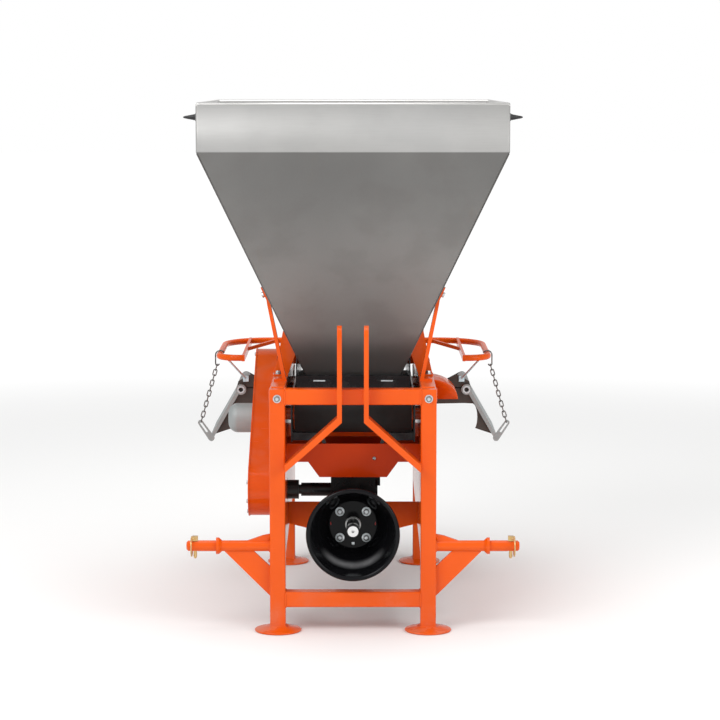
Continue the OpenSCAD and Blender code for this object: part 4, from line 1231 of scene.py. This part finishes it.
@dataclass
class Fasteners(Assembly):
    """Bolts with washers and bevelled hexagon heads, in millimetres."""

    wall_lean: float = 25.06
    strut_bolt: tuple[float, float] = (227.0, 856.3)
    cup_middle: Point = (0.0, 121.0, 257.5)
    cup_reach: float = 34.5
    washers: BMesh = field(default_factory=bmesh.new)
    heads: BMesh = field(default_factory=bmesh.new)

    def build(self) -> None:
        """Makes the bolts of the legs, the gearbox pan, the hopper and the cup."""
        self.frame_bolts()
        self.hopper_bolts()
        self.cup_bolts()
        self.washers.free()
        self.heads.free()

    def bolt(self, place: Matrix, washer: Sequence[float], head: Sequence[float], turn: float) -> None:
        """Adds one bolt whose washer lies on its place and whose head points along Z.

        Args:
            place: where it sits.
            washer: the washer's diameter and thickness.
            head: the head's width over the corners, its height above the washer's foot, and the shank's length.
            turn: how far the head is turned, in degrees.
        """
        if washer[0] > 0:
            nut(self.washers, place, washer[0] / 1000, washer[1] / 1000, 40)
        wide, high, shank = (size / 1000 for size in head)
        lift = (washer[1] - 0.1) / 1000
        turned = place @ placed((0, 0, lift), turn, "Z")
        nut(self.heads, turned, wide, high - lift, chamfer=0.2)
        # A bright zinc disc on top of the head: a painted highlight.
        nut(self.washers, place @ placed((0, 0, high - 0.0006)), wide * 0.5, 0.0009, 24)
        if shank > 0:
            nut(self.heads, place @ placed((0, 0, -shank)), 0.00995, shank, 24)

    def close(self, name: str, node: str, look: Look = Look.BOLT_SHADED) -> None:
        """Finishes the bolts made so far and puts them in the place of a node.

        Args:
            name: what the pieces are called.
            node: the node that they replace.
            look: the finish of the heads.
        """
        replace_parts(self.piece(name + "_heads", self.heads, look, "zinc"), node)
        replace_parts(self.piece(name + "_washers", self.washers, Look.ZINC, "zinc"), node)
        self.washers, self.heads = bmesh.new(), bmesh.new()

    def frame_bolts(self) -> None:
        """Makes the bolts at the tops of the front legs and in the gearbox pan."""
        for x, turn in ((-193, 12), (193, 41)):
            self.bolt(placed(at(x, 0, 604), 90), (21, 1.6), (17, 7, 8), turn)
        for x, y in ((-40, 163), (-40, 241), (40, 163), (40, 241)):
            self.bolt(placed(at(x, y, 383.7)), (21, 1.6), (18, 7, 16), x + y)
        nut(self.heads, placed(at(55, 138, 429.7), 90), 0.009, 0.004, 24)
        self.close("frame_bolt", "frame_bolts")

    def hopper_bolts(self) -> None:
        """Makes the bolts on the strut pads and on the bracket feet."""
        lift = placed((0, 0, 0.006 * math.cos(math.radians(self.wall_lean))))
        x, z = self.strut_bolt
        for side in (-1, 1):
            for y in (187, 750):
                pad = placed(at(side * x, y, z), side * (90 + self.wall_lean), "Y")
                self.bolt(pad @ lift, (0, 0.1), (16, 7, 0), y * 7 + side)
            for y in (291, 621):
                self.bolt(placed(at(side * 199, y, 632)), (18, 2), (15, 9, 0), y + side * 9)
        self.close("hopper_bolt", "hopper_bolts", Look.ZINC)

    def cup_bolts(self) -> None:
        """Makes the four bolts in the floor of the guard cup."""
        for x, z, turn in ((-1, -1, 8), (-1, 1, 33), (1, -1, 50), (1, 1, 19)):
            middle, floor, height = self.cup_middle
            spot = at(middle + x * self.cup_reach, floor, height + z * self.cup_reach)
            self.bolt(placed(spot, 90), (24, 2), (17, 8.9, 14), turn)
        self.close("cup_bolt", "guard_cup_bolts")


@dataclass
class Spreader(Assembly):
    """Disc, hood wings, flaps and their chains."""

    looks = {
        Look.DISC: "spinner_disc",
        Look.HOOD_SHADED: "hood_wings",
        Look.STAINLESS: "left_flap right_flap",
        Look.CHAIN: "left_chain right_chain",
        Look.ZINC: "hinge_tubes",
    }


@dataclass
class Covers(Assembly):
    """Thin covers in millimetres: shaft end guard, hood plates and bright zinc strips in the outlet slots, which are
    painted highlights, and the chain case's cap in metres.
    """

    guard_at: tuple[float, float] = (213.0, 519.0)
    guard_size: tuple[float, float] = (80.0, 56.0)
    guard_span: tuple[float, float] = (630.0, 770.0)
    hood_front: float = 820.0
    hood_rear: float = 1127.0
    hinge: tuple[float, float] = (325.0, 523.0)
    eye: float = 14.0
    sheet: float = 3.0
    cap_at: Point = (-275.0, 450.0, 492.0)
    cap_size: Point = (0.040, 0.066, 0.026)

    def build(self) -> None:
        """Makes the covers."""
        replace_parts(self.guard(), "shaft_end_guard")
        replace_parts(self.hood(), "hood_wings")
        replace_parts(self.cap(), "tensioner_cap")
        self.slot_highlights()

    def guard(self) -> Object:
        """Bends the guard of the shaft end: a quarter round between two cheeks, open below.

        Returns:
            The guard.
        """
        mesh = bmesh.new()
        x, z = self.guard_at
        front, rear = self.guard_span
        turns = [math.pi / 2 * i / 14 for i in range(15)]
        arc = [(x + self.guard_size[0] * math.cos(a), z + self.guard_size[1] * math.sin(a)) for a in turns]
        slab(mesh, [at(a, front, b) for a, b in ((x, z), *arc)], Vector((0, (rear - front) / 1000, 0)))
        bmesh.ops.recalc_face_normals(mesh, faces=mesh.faces[:])
        hidden = [f for f in mesh.faces if f.normal.x < -0.99 or f.normal.z < -0.99]
        bmesh.ops.delete(mesh, geom=hidden, context="FACES")
        bends = [e for e in mesh.edges if len(e.link_faces) == 2 and e.calc_face_angle(0.0) > 1.2]
        soften(mesh, bends, 0.002, 3)
        return self.walled(self.piece("shaft_end_cover", mesh, Look.ORANGE_SHEET, "orange_paint", angle=50.0))

    def hood(self) -> Object:
        """Cuts the plates of the hood on both sides.

        Returns:
            The hood.
        """
        mesh = bmesh.new()
        middle, height = self.hinge
        scoop = [(342 + 15 * math.sin(a), 441 + 40 * math.cos(a)) for a in (0.1 + 0.24 * i for i in range(11))]
        front = [(176, 479), (318, 482), *scoop, (408.3, 389.8), (336.8, 513.6), (339, 523), (336.5, 532)]
        front += [(333, 546), (296, 566), (276, 556), (278, 534), (176, 534)]
        turns = [math.pi * i / 12 for i in range(-8, 9)]
        rear = [(middle + self.eye * math.cos(a), height + self.eye * math.sin(a)) for a in turns]
        rear += [(262, 505), (262, 498)]
        roof = ((213, 820, 528), (309, 820, 525), (309, 1130, 512), (213, 1130, 499))
        flange = ((823, 479.5), (860, 479.5), (860, 533.5), (823, 533.5))
        thick = self.sheet / 1000
        for side in (-1, 1):
            slab(mesh, [at(side * x, self.hood_front, z) for x, z in front], Vector((0, thick, 0)))
            slab(mesh, [at(side * x, self.hood_rear, z) for x, z in rear], Vector((0, thick, 0)))
            slab(mesh, [at(side * x, y, z) for x, y, z in roof], Vector((0, 0, thick)))
            slab(mesh, [at(side * 176, y, z) for y, z in flange], Vector((side * thick, 0, 0)))
        return self.piece("hood_plates", mesh, Look.HOOD_SHADED, "stainless")

    def cap(self) -> Object:
        """Turns the cap of the chain case, whose end is well rounded.

        Returns:
            The cap.
        """
        mesh = bmesh.new()
        wide, long, bend = self.cap_size
        bmesh.ops.create_circle(mesh, cap_ends=True, segments=64, radius=wide)
        turns = [math.pi / 2 * i / 10 for i in range(11)]
        rings = [(wide - bend + bend * math.cos(a), long - bend + bend * math.sin(a)) for a in turns]
        bmesh.ops.contextual_create(mesh, geom=turn_up(mesh, mesh.edges[:], rings))
        bmesh.ops.transform(mesh, matrix=placed(at(*self.cap_at), -90, "Y"), verts=mesh.verts[:])
        return self.piece("case_cap", mesh, Look.CAP, "stainless", angle=50.0)

    def slot_highlights(self) -> None:
        """Lays a bright zinc strip in each slot of the outlet box: a painted highlight."""
        mesh = bmesh.new()
        for side in (-1, 1):
            near, far = side * 73, side * 104
            corners = ((near, 185.8, 625.6), (far, 185.8, 625.6), (far, 187.8, 629.4), (near, 187.8, 629.4))
            slab(mesh, [at(*corner) for corner in corners], Vector((0, 0.0006, -0.0003)))
        self.piece("slot_lips", mesh, Look.ZINC, "zinc")


@dataclass
class Studio:
    """Camera, floor and lights."""

    paints: Paintbox
    eye: Point = (0.018, -6.5745, 1.40866)
    down: float = 6.7025
    lens: float = 119.13
    ambient: float = 0.62
    floor_r: float = 40.0
    floor_gap: float = 0.0005
    target: Point = (0.0, 0.0, 0.7)

    def build(self) -> None:
        """Sets up the whole studio."""
        self.camera()
        self.floor()
        self.world()
        bpy.context.scene.view_settings.view_transform = "Standard"
        self.lamp("key", (-3.2, -4.2, 4.6), 3.2, 210.0)
        self.lamp("fill", (3.8, -3.6, 2.6), 3.0, 100.0)
        self.lamp("top", (0.0, 0.6, 5.0), 4.0, 110.0)

    def camera(self) -> None:
        """Puts the camera where the photographer stood."""
        data = bpy.data.cameras.new("viewpoint")
        data.lens = self.lens
        data.sensor_width = 36.0
        data.clip_end = 100.0
        made = linked("viewpoint", data)
        made.location = self.eye
        made.rotation_euler = (math.radians(90 - self.down), 0.0, 0.0)
        bpy.context.scene.camera = made

    def floor(self) -> None:
        """Lays the floor."""
        mesh = bmesh.new()
        bmesh.ops.create_circle(mesh, cap_ends=True, segments=96, radius=self.floor_r)
        data = bpy.data.meshes.new("studio_floor")
        mesh.to_mesh(data)
        mesh.free()
        made = linked("studio_floor", data)
        made.location = (0.0, 0.0, -self.floor_gap)
        data.materials.append(self.paints.get(Look.GROUND))

    def world(self) -> None:
        """Lights the room evenly, with white behind the object."""
        world = bpy.data.worlds.new("studio_room")
        world.use_nodes = True
        room = world.node_tree
        back = room.nodes["Background"]
        back.inputs[0].default_value = (1.0, 1.0, 1.0, 1.0)
        seen = room.nodes.new("ShaderNodeLightPath")
        level = room.nodes.new("ShaderNodeMath")
        level.operation = "MULTIPLY_ADD"
        level.inputs[1].default_value = 1.0 - self.ambient
        level.inputs[2].default_value = self.ambient
        room.links.new(seen.outputs["Is Camera Ray"], level.inputs[0])
        room.links.new(level.outputs[0], back.inputs[1])
        bpy.context.scene.world = world

    def lamp(self, name: str, place: Point, size: float, power: float) -> None:
        """Hangs a soft square lamp that faces the hopper.

        Args:
            name: the lamp's name.
            place: where it hangs.
            size: its width.
            power: its power in watts.
        """
        data = bpy.data.lights.new(name, "AREA")
        data.size = size
        data.energy = power
        made = linked(name, data)
        made.location = place
        aim = Vector(self.target) - Vector(place)
        made.rotation_euler = aim.to_track_quat("-Z", "Y").to_euler()


def main() -> None:
    """Builds the whole scene."""
    logging.basicConfig(level=logging.INFO, format="%(message)s")
    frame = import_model()
    paints = Paintbox()
    for kind in (TubeFrame, Hitch, Hopper, Conveyor, Drive, Fasteners, Spreader, Covers):
        part = kind(frame["nodes"], paints)
        part.dress()
        part.build()
    Studio(paints).build()
    bare = sorted(name for name, thing in frame["nodes"].items() if not thing.data.materials)
    LOG.info("nodes without a finish: %s", bare)


if __name__ == "__main__":
    main()
